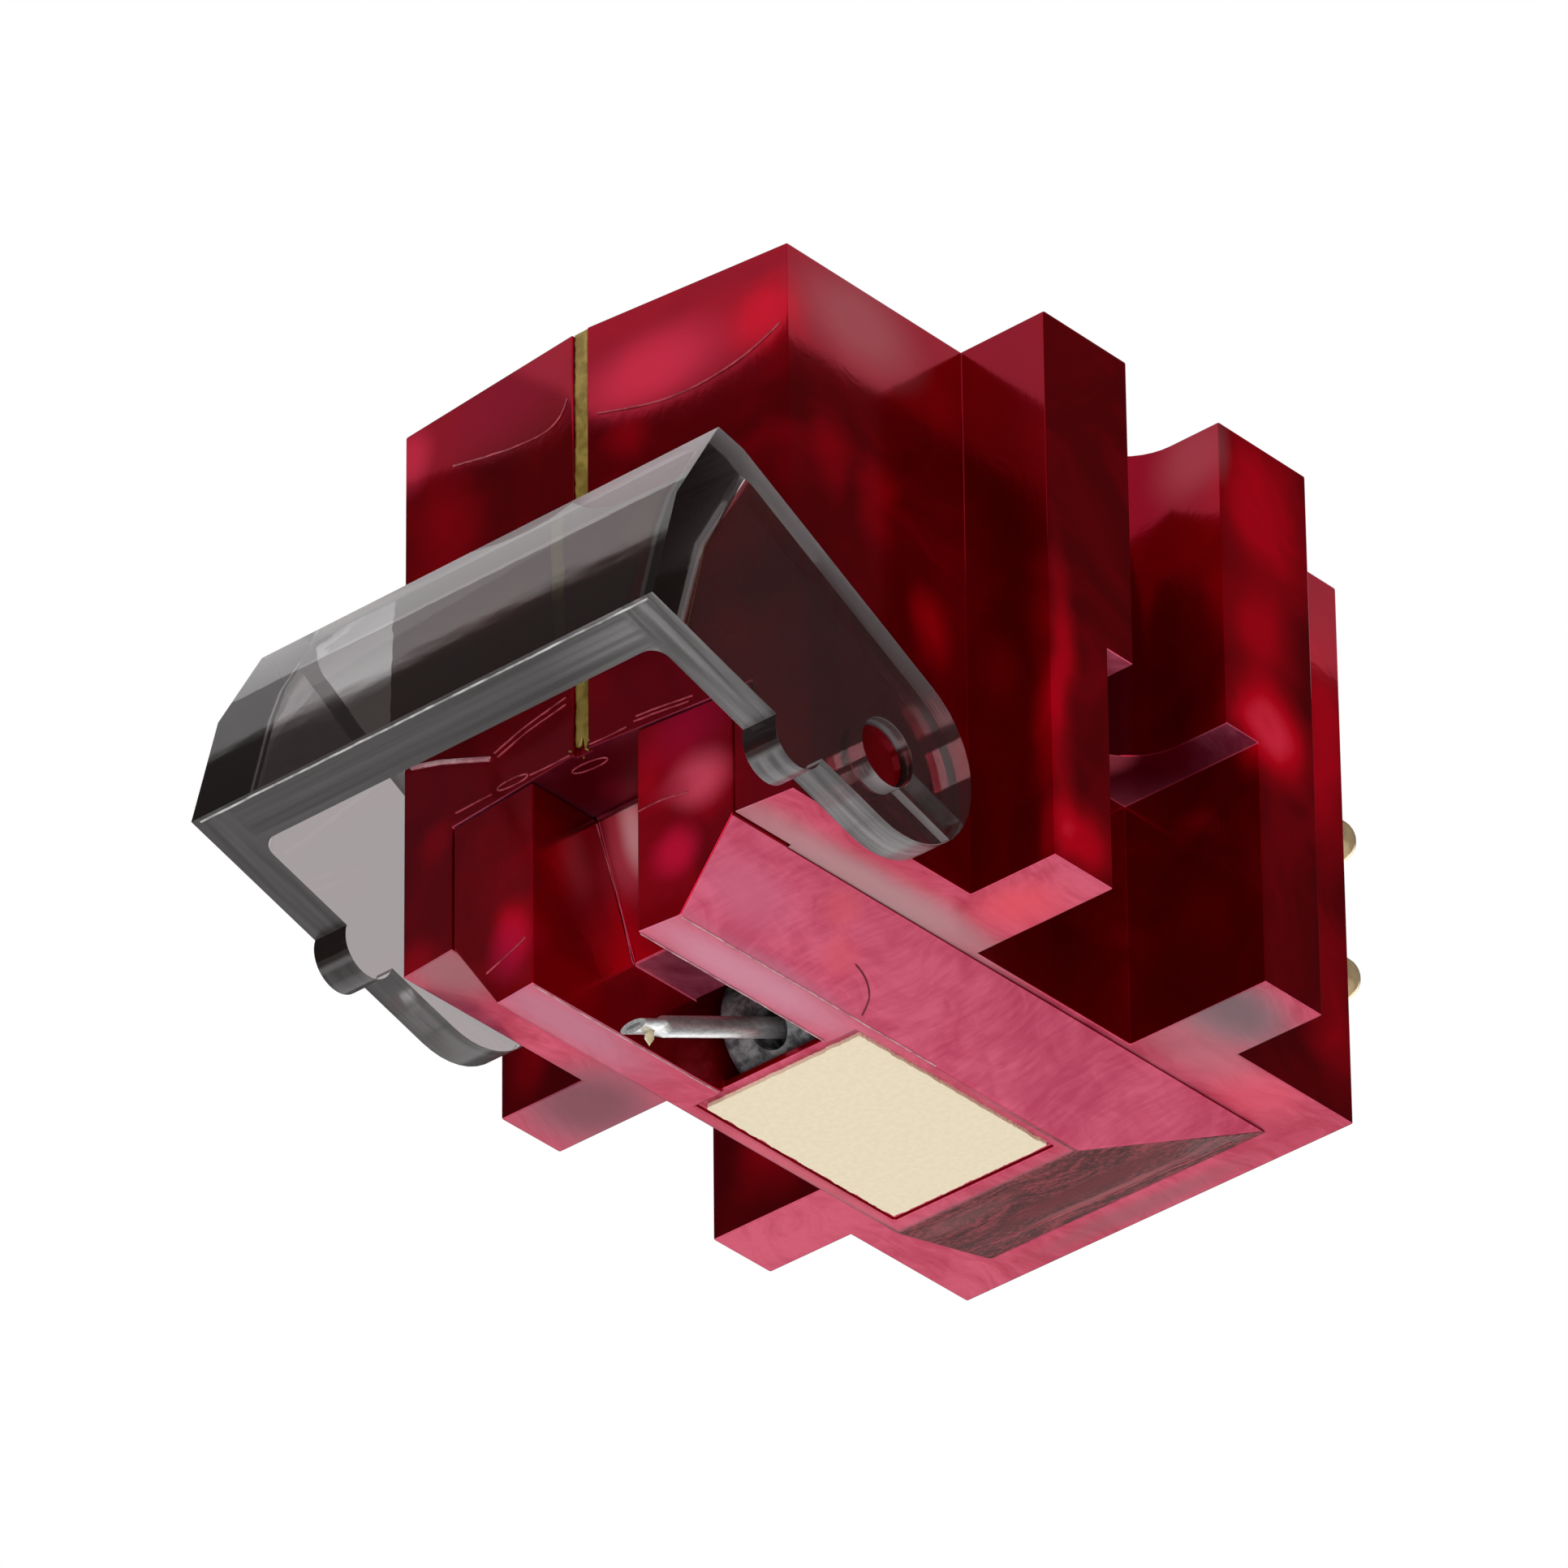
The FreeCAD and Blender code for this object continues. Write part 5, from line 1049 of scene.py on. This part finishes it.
# Painted highlight: pale lines along the keel's lower edges
EDGE_HIGHLIGHT_BEADS = (
    ((-1.48, -9.95, -15.468), (-1.48, -7.0, -15.468), (-1.48, -4.3, -15.468)),
    ((1.48, -9.95, -15.468), (1.48, -7.0, -15.468), (1.48, -4.3, -15.468)),
    ((2.53, -9.85, -15.465), (2.53, -6.0, -15.465), (2.53, -2.0, -15.465)),
)
GLUE_BEADS = (
    ((-1.42, -8.03, -10.53), (-0.5, -8.03, -10.53), (0.5, -8.03, -10.53), (1.42, -8.03, -10.53)),
)
RED_BEADS = (
    ((0.50, -10.12, -2.30), (1.82, -9.99, -2.60), (2.87, -9.89, -2.66), (3.92, -9.80, -2.50),
     (4.65, -9.73, -2.24), (5.20, -9.68, -1.95)),
    ((-3.90, -9.80, -1.48), (-2.86, -9.89, -1.75), (-1.85, -9.99, -1.98), (-1.05, -10.06, -2.05),
     (-0.59, -10.11, -1.91), (-0.36, -10.12, -1.55)),
    ((-1.45, -8.04, -10.66), (-1.45, -7.33, -12.37), (-1.45, -6.98, -13.42), (-1.45, -6.92, -13.54),
     (-1.44, -6.80, -13.56), (-1.44, -5.3, -13.56)),
    ((1.50, -10.02, -12.55), (2.1, -9.96, -12.50), (2.76, -9.90, -12.56)),
    ((-2.6, -9.92, -9.30), (-1.7, -10.01, -9.12), (-0.42, -10.12, -8.98)),
    ((-2.5, -9.93, -9.44), (-1.6, -10.02, -9.27), (-0.42, -10.12, -9.15)),
    ((-3.8, -9.80, -10.20), (-3.2, -9.86, -10.24), (-2.7, -9.91, -10.27)),
    oval((-2.05, -9.97, -10.28), 0.48, 0.09, (0.99, -0.09, -0.10), (0.0, 0.0, 1.0)),
    ((-1.5, -10.02, -10.36), (-0.9, -10.08, -10.42), (-0.3, -10.12, -10.45)),
    oval((-0.2, -9.62, -10.5), 0.46, 0.13, (0.99, 0.07, 0.0), (0.0, 1.0, 0.0)),
    ((0.25, -10.12, -10.42), (0.8, -10.08, -10.40), (1.2, -10.04, -10.36)),
    ((1.45, -10.02, -10.20), (2.1, -9.96, -10.22), (2.9, -9.89, -10.27)),
    ((1.40, -10.03, -10.31), (2.1, -9.96, -10.33), (2.8, -9.90, -10.37)),
    ((-2.83, -9.90, -14.59), (-2.2, -9.95, -14.42), (-1.65, -10.0, -14.25)),
    ((-2.9, 6.05, -13.96), (-1.2, 6.28, -13.86), (1.0, 6.55, -13.74), (3.2, 6.72, -13.67)),
)
PAINT_SPECKS = (
    ((-0.30, -10.14, -10.36), (-0.24, -10.14, -10.40)),
    ((0.12, -10.10, -10.46), (0.17, -10.06, -10.50)),
    ((-0.06, -9.96, -10.50), (-0.10, -9.92, -10.50)),
    ((0.22, -10.13, -10.30), (0.24, -10.13, -10.33)),
)


# Sub-assemblies
@dataclass(frozen=True)
class Casings:
    """The shell and the keel, with edges as a moulding has them."""

    edge_mm: float = 0.07

    def build(self) -> None:
        """Makes both casings from their solids."""
        for node, name, finish, slot in (
                ("upper_housing", "shell", SHELL_RED, Slot.SHELL),
                ("lower_housing", "keel", KEEL_RED, Slot.KEEL)):
            dress(moulded(node, name, self.edge_mm), finish, Body.ROOT, slot, node)


@dataclass(frozen=True)
class Guard:
    """The clear swinging guard."""

    edge_mm: float = 0.06

    def build(self) -> None:
        """Makes the guard from its solid and lays a painted highlight along its lip."""
        dress(moulded("stylus_guard", "guard_clear", self.edge_mm), GUARD_SMOKE, Body.GUARD, Slot.GUARD,
              "stylus_guard")
        BeadSet("guard_glint_line", GUARD_GLINT, Slot.GUARD, 0.026, GUARD_BEADS, Body.GUARD).build()


@dataclass(frozen=True)
class PaintAndPlate:
    """The cueing line and the bare label plate."""

    step_mm: float = 0.05
    columns: int = 8
    start_mm: float = 0.01
    side_loss_mm: float = 0.05
    torn_end_mm: float = 0.45
    ripple_mm: float = 0.03
    ripples_per_mm: float = 1.5
    tooth_mm: float = 0.05
    tear_mm: float = 0.05
    tears_per_mm: float = 3.0
    clear_mm: float = 0.06

    def build(self) -> None:
        """Brushes the line, with its specks, and makes the plate."""
        dress(self.brushed_line(), CUE_GOLD, Body.ROOT, Slot.CUE, "cue_line")
        BeadSet("cue_specks", CUE_GOLD, Slot.CUE, 0.025, PAINT_SPECKS).build()
        dress(self.torn_plate(), LABEL_CREAM, Body.ROOT, Slot.LABEL, "label_plate")

    def brushed_line(self) -> Piece:
        """The painted line, uneven at its sides and torn at its lower end."""
        low, high = box_of("cue_line")
        rows, width = round((high.z - low.z) / self.step_mm), self.columns + 1
        places = []
        for row in range(rows + 1):
            for column in range(width):
                end = low.z + 2 * self.start_mm + ragged(column * 0.9, Row.END, self.torn_end_mm)
                z = high.z - self.start_mm + (end - high.z) * row / rows
                left = low.x + ragged(z, Row.LEFT, self.side_loss_mm)
                right = high.x - ragged(z, Row.RIGHT, self.side_loss_mm)
                x = left + (right - left) * column / self.columns
                y = low.y + ragged(z + x * 3.0, Row.FACE, self.ripple_mm, self.ripples_per_mm)
                places.append((x, y, z))
        starts = [row * width + column for row in range(rows) for column in range(self.columns)]
        mesh = mesh_of("cue_paint", places, (),
                       [(at, at + width, at + width + 1, at + 1) for at in starts])
        mesh.shade_smooth()
        piece = shown("cue_paint", mesh)
        solid = piece.modifiers.new("depth", "SOLIDIFY")
        solid.thickness = (high.y - low.y - self.ripple_mm) * MM
        solid.offset = -1.0
        return settle(piece)

    def torn_plate(self) -> Piece:
        """The plate with the fine teeth of a torn edge."""
        low, high = box_of("label_plate")
        corners = [(low.x, low.y), (high.x, low.y), (high.x, high.y), (low.x, high.y)]
        inward = [(0, 1), (-1, 0), (0, -1), (1, 0)]
        outline = []
        for side, (start, finish, into) in enumerate(zip(corners, corners[1:] + corners[:1], inward)):
            length = math.dist(start, finish)
            count = round(length / self.tooth_mm)
            for step in range(count):
                share = (self.clear_mm + (length - 2 * self.clear_mm) * step / (count - 1)) / length
                loss = ragged(share * length, Row.PLATE + side, self.tear_mm, self.tears_per_mm)
                outline.append([a + (b - a) * share + loss * turn
                                for a, b, turn in zip(start, finish, into)])
        total = len(outline)
        sides = [(i, (i + 1) % total, total + (i + 1) % total, total + i) for i in range(total)]
        return shown("label_bare", mesh_of(
            "label_bare", [(x, y, z) for z in (low.z, high.z) for x, y in outline], (),
            [tuple(reversed(range(total))), tuple(range(total, 2 * total)), *sides]))


@dataclass(frozen=True)
class MouldingAndHighlightLines:
    """Joint lines, a flow mark and a glue line that the mouldings and their glue left, and pale lines that
    are painted highlights on the prow and along the keel's edges.
    """

    lines: tuple[BeadSet, ...] = (
        BeadSet("prow_highlight_line", PALE_HIGHLIGHT_LINE, Slot.SHELL, 0.06, PROW_HIGHLIGHT_BEADS),
        BeadSet("joint_lines", FLASH_RED, Slot.SHELL, 0.022, RED_BEADS),
        BeadSet("flow_mark", FLASH_DARK, Slot.KEEL, 0.022, DARK_BEADS),
        BeadSet("glue_line", FLASH_DARK, Slot.KEEL, 0.055, GLUE_BEADS),
        BeadSet("edge_highlight_lines", PALE_HIGHLIGHT_LINE, Slot.KEEL, 0.018, EDGE_HIGHLIGHT_BEADS),
    )

    def build(self) -> None:
        """Lays the beads on the casings."""
        for line in self.lines:
            line.build()


@dataclass(frozen=True)
class StylusAssembly:
    """Cantilever, diamond, damper and the moving coils."""

    coils: tuple[str, ...] = ("coil_upper_right", "coil_upper_left", "coil_lower_left", "coil_lower_right")

    def build(self) -> None:
        """Gives the moving parts their finishes and winds the coils."""
        paint(ALUMINIUM, "cantilever", "cantilever_sleeve")
        paint(DIAMOND, "stylus_tip")
        paint(RUBBER, "damper_block", "pivot_damper")
        paint(SOFT_IRON, "armature")
        self.wind_coils()

    def wind_coils(self) -> None:
        """Winds the four coils with wire, each along its own arm."""
        middles = [self.middle(node) for node in self.coils]
        hub = sum(middles, Vector()) / len(middles)
        axis = (middles[0] - hub).cross(middles[1] - hub).normalized()
        tree = winding_tree(COIL_COPPER)
        for node, middle in zip(self.coils, middles):
            along = (middle - hub).normalized()
            turned = Matrix((axis.cross(along), axis, along)).transposed().to_4x4()
            piece = tree.grow(node.replace("coil", "winding"), bpy.data.meshes.new(node + "_start"))
            piece.data.transform(Matrix.Translation(middle) @ turned)
            dress(piece, COIL_COPPER, Body.STYLUS, Slot.COPPER, node)

    @staticmethod
    def middle(node: str) -> Vector:
        """Middle of a coil, from its corners."""
        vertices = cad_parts[node].data.vertices
        corners = {tuple(round(value, 7) for value in vertex.co) for vertex in vertices}
        return sum((Vector(corner) for corner in corners), Vector()) / len(corners)


@dataclass(frozen=True)
class Generator:
    """Yokes, magnet and suspension inside the body."""

    def build(self) -> None:
        """Gives the hidden parts their finishes."""
        paint(SOFT_IRON, "front_yoke", "rear_yoke")
        paint(NICKEL, "magnet")
        paint(STEEL, "suspension_wire", "suspension_set_screw")
        paint(BRASS, "suspension_sleeve")


@dataclass(frozen=True)
class Terminals:
    """Pins, their block, the tag board and the leads."""

    def build(self) -> None:
        """Gives the pins, the boards and the leads their finishes."""
        paint(BOARD_GREEN, "tag_board")
        paint(TERMINAL_BLACK, "terminal_block")
        paint(PIN_GOLD, *(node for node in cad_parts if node.startswith("pin_")))
        for node, sleeve in SLEEVES.items():
            paint(sleeve, node)


# Studio
@dataclass(frozen=True)
class Viewpoint:
    """Where the photograph was taken from."""

    azimuth: float = 41.354
    elevation: float = -32.657
    roll: float = -0.5963
    distance_mm: float = 334.9
    aim_mm: Point = (0.0, -1.316, -7.408)
    slide_mm: tuple[float, float] = (1.637, -0.246)
    focal_px: float = 19583.0
    frame_px: float = 1932.0
    sensor_mm: float = 36.0
    clip: Range = (0.02, 20.0)

    def back(self) -> Vector:
        """Direction from the object to the camera."""
        azimuth, elevation = math.radians(self.azimuth), math.radians(self.elevation)
        return Vector((math.sin(azimuth) * math.cos(elevation),
                       -math.cos(azimuth) * math.cos(elevation), math.sin(elevation)))

    def build(self) -> None:
        """Makes the camera."""
        back = self.back()
        level_right = (-back).cross(Vector((0, 0, 1))).normalized()
        level_up = level_right.cross(-back)
        roll = math.radians(self.roll)
        right = level_right * math.cos(roll) + level_up * math.sin(roll)
        up = level_up * math.cos(roll) - level_right * math.sin(roll)
        eye = (Vector(self.aim_mm) + back * self.distance_mm
               - right * self.slide_mm[0] - up * self.slide_mm[1]) * MM
        camera = shown("photo_camera", bpy.data.cameras.new("photo_camera"))
        camera.data.sensor_width = self.sensor_mm
        camera.data.lens = self.sensor_mm * self.focal_px / self.frame_px
        camera.data.clip_start, camera.data.clip_end = self.clip
        turned = Matrix((right, up, back)).transposed().to_4x4()
        camera.matrix_world = Matrix.Translation(eye) @ turned
        bpy.context.scene.camera = camera


@dataclass(frozen=True)
class SoftLamp:
    """A soft box, placed by its direction from the object, in metres."""

    name: str
    towards: Point
    distance: float
    size: float
    radiance: float

    def place(self, centre: Vector) -> None:
        """Hangs the lamp so that it faces the object.

        Args:
            centre: Middle of the object.
        """
        light = bpy.data.lights.new(self.name, "AREA")
        light.shape = "SQUARE"
        light.size = self.size
        light.energy = self.radiance * math.pi * self.size ** 2
        lamp = shown(self.name, light)
        away = Vector(self.towards).normalized()
        lamp.location = centre + away * self.distance
        lamp.rotation_mode = "QUATERNION"
        lamp.rotation_quaternion = away.to_track_quat("Z", "Y")
        lamp.visible_camera = False


@dataclass(frozen=True)
class Studio:
    """Floor, backdrop, lamps and the pale stand that the polished faces mirror."""

    floor_z_mm: float = -450.0
    floor_half_mm: float = 2000.0
    stand_half_x_mm: float = 7.7
    stand_rear_y_mm: float = 12.4
    stand_lift_mm: float = 0.02
    stand_front_mm: tuple[tuple[float, float], ...] = (
        (-7.7, -10.4), (-6.0, -11.04), (-5.06, -11.55), (-4.33, -11.87), (-3.62, -12.0), (-2.99, -11.92),
        (-2.31, -11.6), (-1.8, -12.7), (-1.24, -13.24), (-0.21, -13.5), (0.79, -13.5), (1.96, -13.2),
        (2.89, -12.78), (3.75, -12.3), (7.7, -12.3))
    lamps: tuple[SoftLamp, ...] = (
        SoftLamp("under_box", (-0.556, 0.632, -0.54), 0.42, 0.36, 0.75),
        SoftLamp("low_box", (0.45, -0.50, -0.85), 0.50, 0.34, 2.6),
        SoftLamp("land_box", (-0.556, 0.22, 0.80), 0.45, 0.20, 0.8),
        SoftLamp("key_box", (0.75, -1.0, 0.02), 0.50, 0.34, 3.0),
        SoftLamp("fill_box", (-1.0, -0.2, -0.15), 0.50, 0.34, 2.0),
        SoftLamp("top_box", (0.1, 0.2, 1.0), 0.60, 0.34, 2.6),
        SoftLamp("rear_box", (-0.3, 1.0, 0.1), 0.60, 0.34, 2.0),
    )
    white: float = 1.0
    mirrored_grey: float = 0.05
    diffuse_grey: float = 0.42
    through_grey: float = 0.32

    def build(self) -> None:
        """Sets up everything round the object."""
        self.make_world()
        self.make_floor()
        self.make_stand()
        low, high = CAD_BOX
        for lamp in self.lamps:
            lamp.place((low + high) / 2)
        bpy.context.scene.view_settings.view_transform = "Standard"

    def make_world(self) -> None:
        """White behind the object, dim for all that the object mirrors."""
        world = bpy.data.worlds.new("studio")
        bpy.context.scene.world = world
        world.use_nodes = True
        graph = Graph(world.node_tree)
        path = graph.add("ShaderNodeLightPath").outputs
        straight = graph.calc("LESS_THAN", path["Glossy Depth"], 0.5)
        through = graph.times(path["Is Transmission Ray"], straight)
        seen = graph.calc("MAXIMUM", path["Is Camera Ray"], through)
        bounced = graph.blend(path["Is Glossy Ray"], (self.diffuse_grey,) * 3, (self.mirrored_grey,) * 3)
        room = graph.blend(path["Is Transmission Ray"], bounced, (self.through_grey,) * 3)
        colour = graph.blend(seen, room, (self.white,) * 3)
        background = graph.add("ShaderNodeBackground", {"Color": colour, "Strength": 1.0})
        output = graph.add("ShaderNodeOutputWorld")
        graph.join(background.outputs["Background"], output.inputs["Surface"])

    def make_floor(self) -> None:
        """A plain pale floor far below."""
        half = self.floor_half_mm
        corners = [(-half, -half), (half, -half), (half, half), (-half, half)]
        mesh = mesh_of("floor", [(x, y, self.floor_z_mm) for x, y in corners], (), [(0, 1, 2, 3)])
        mesh.materials.append(FLOOR_PAPER.material())
        floor = shown("floor", mesh)

    def make_stand(self) -> None:
        """The pale stand on the mounting face, which shows only as a mirror image."""
        half_x, rear_y = self.stand_half_x_mm, self.stand_rear_y_mm
        corners = [*self.stand_front_mm, (half_x, rear_y), (-half_x, rear_y)]
        mesh = mesh_of("pale_stand", [(x, y, self.stand_lift_mm) for x, y in corners], (),
                       [tuple(reversed(range(len(corners))))])
        mesh.materials.append(STAND_GLOW.material())
        stand = shown("pale_stand", mesh)
        stand.visible_camera = False
        stand.visible_diffuse = False
        stand.visible_transmission = False
        stand.visible_shadow = False


def main() -> None:
    """Builds every sub-assembly, the studio and the camera."""
    logging.basicConfig(level=logging.INFO, format="%(name)s %(message)s")
    for part in (Casings(), Guard(), PaintAndPlate(), MouldingAndHighlightLines(), StylusAssembly(), Generator(),
                 Terminals(), Studio(), Viewpoint()):
        part.build()
        LOG.info("%s done", type(part).__name__)


if __name__ == "__main__":
    main()
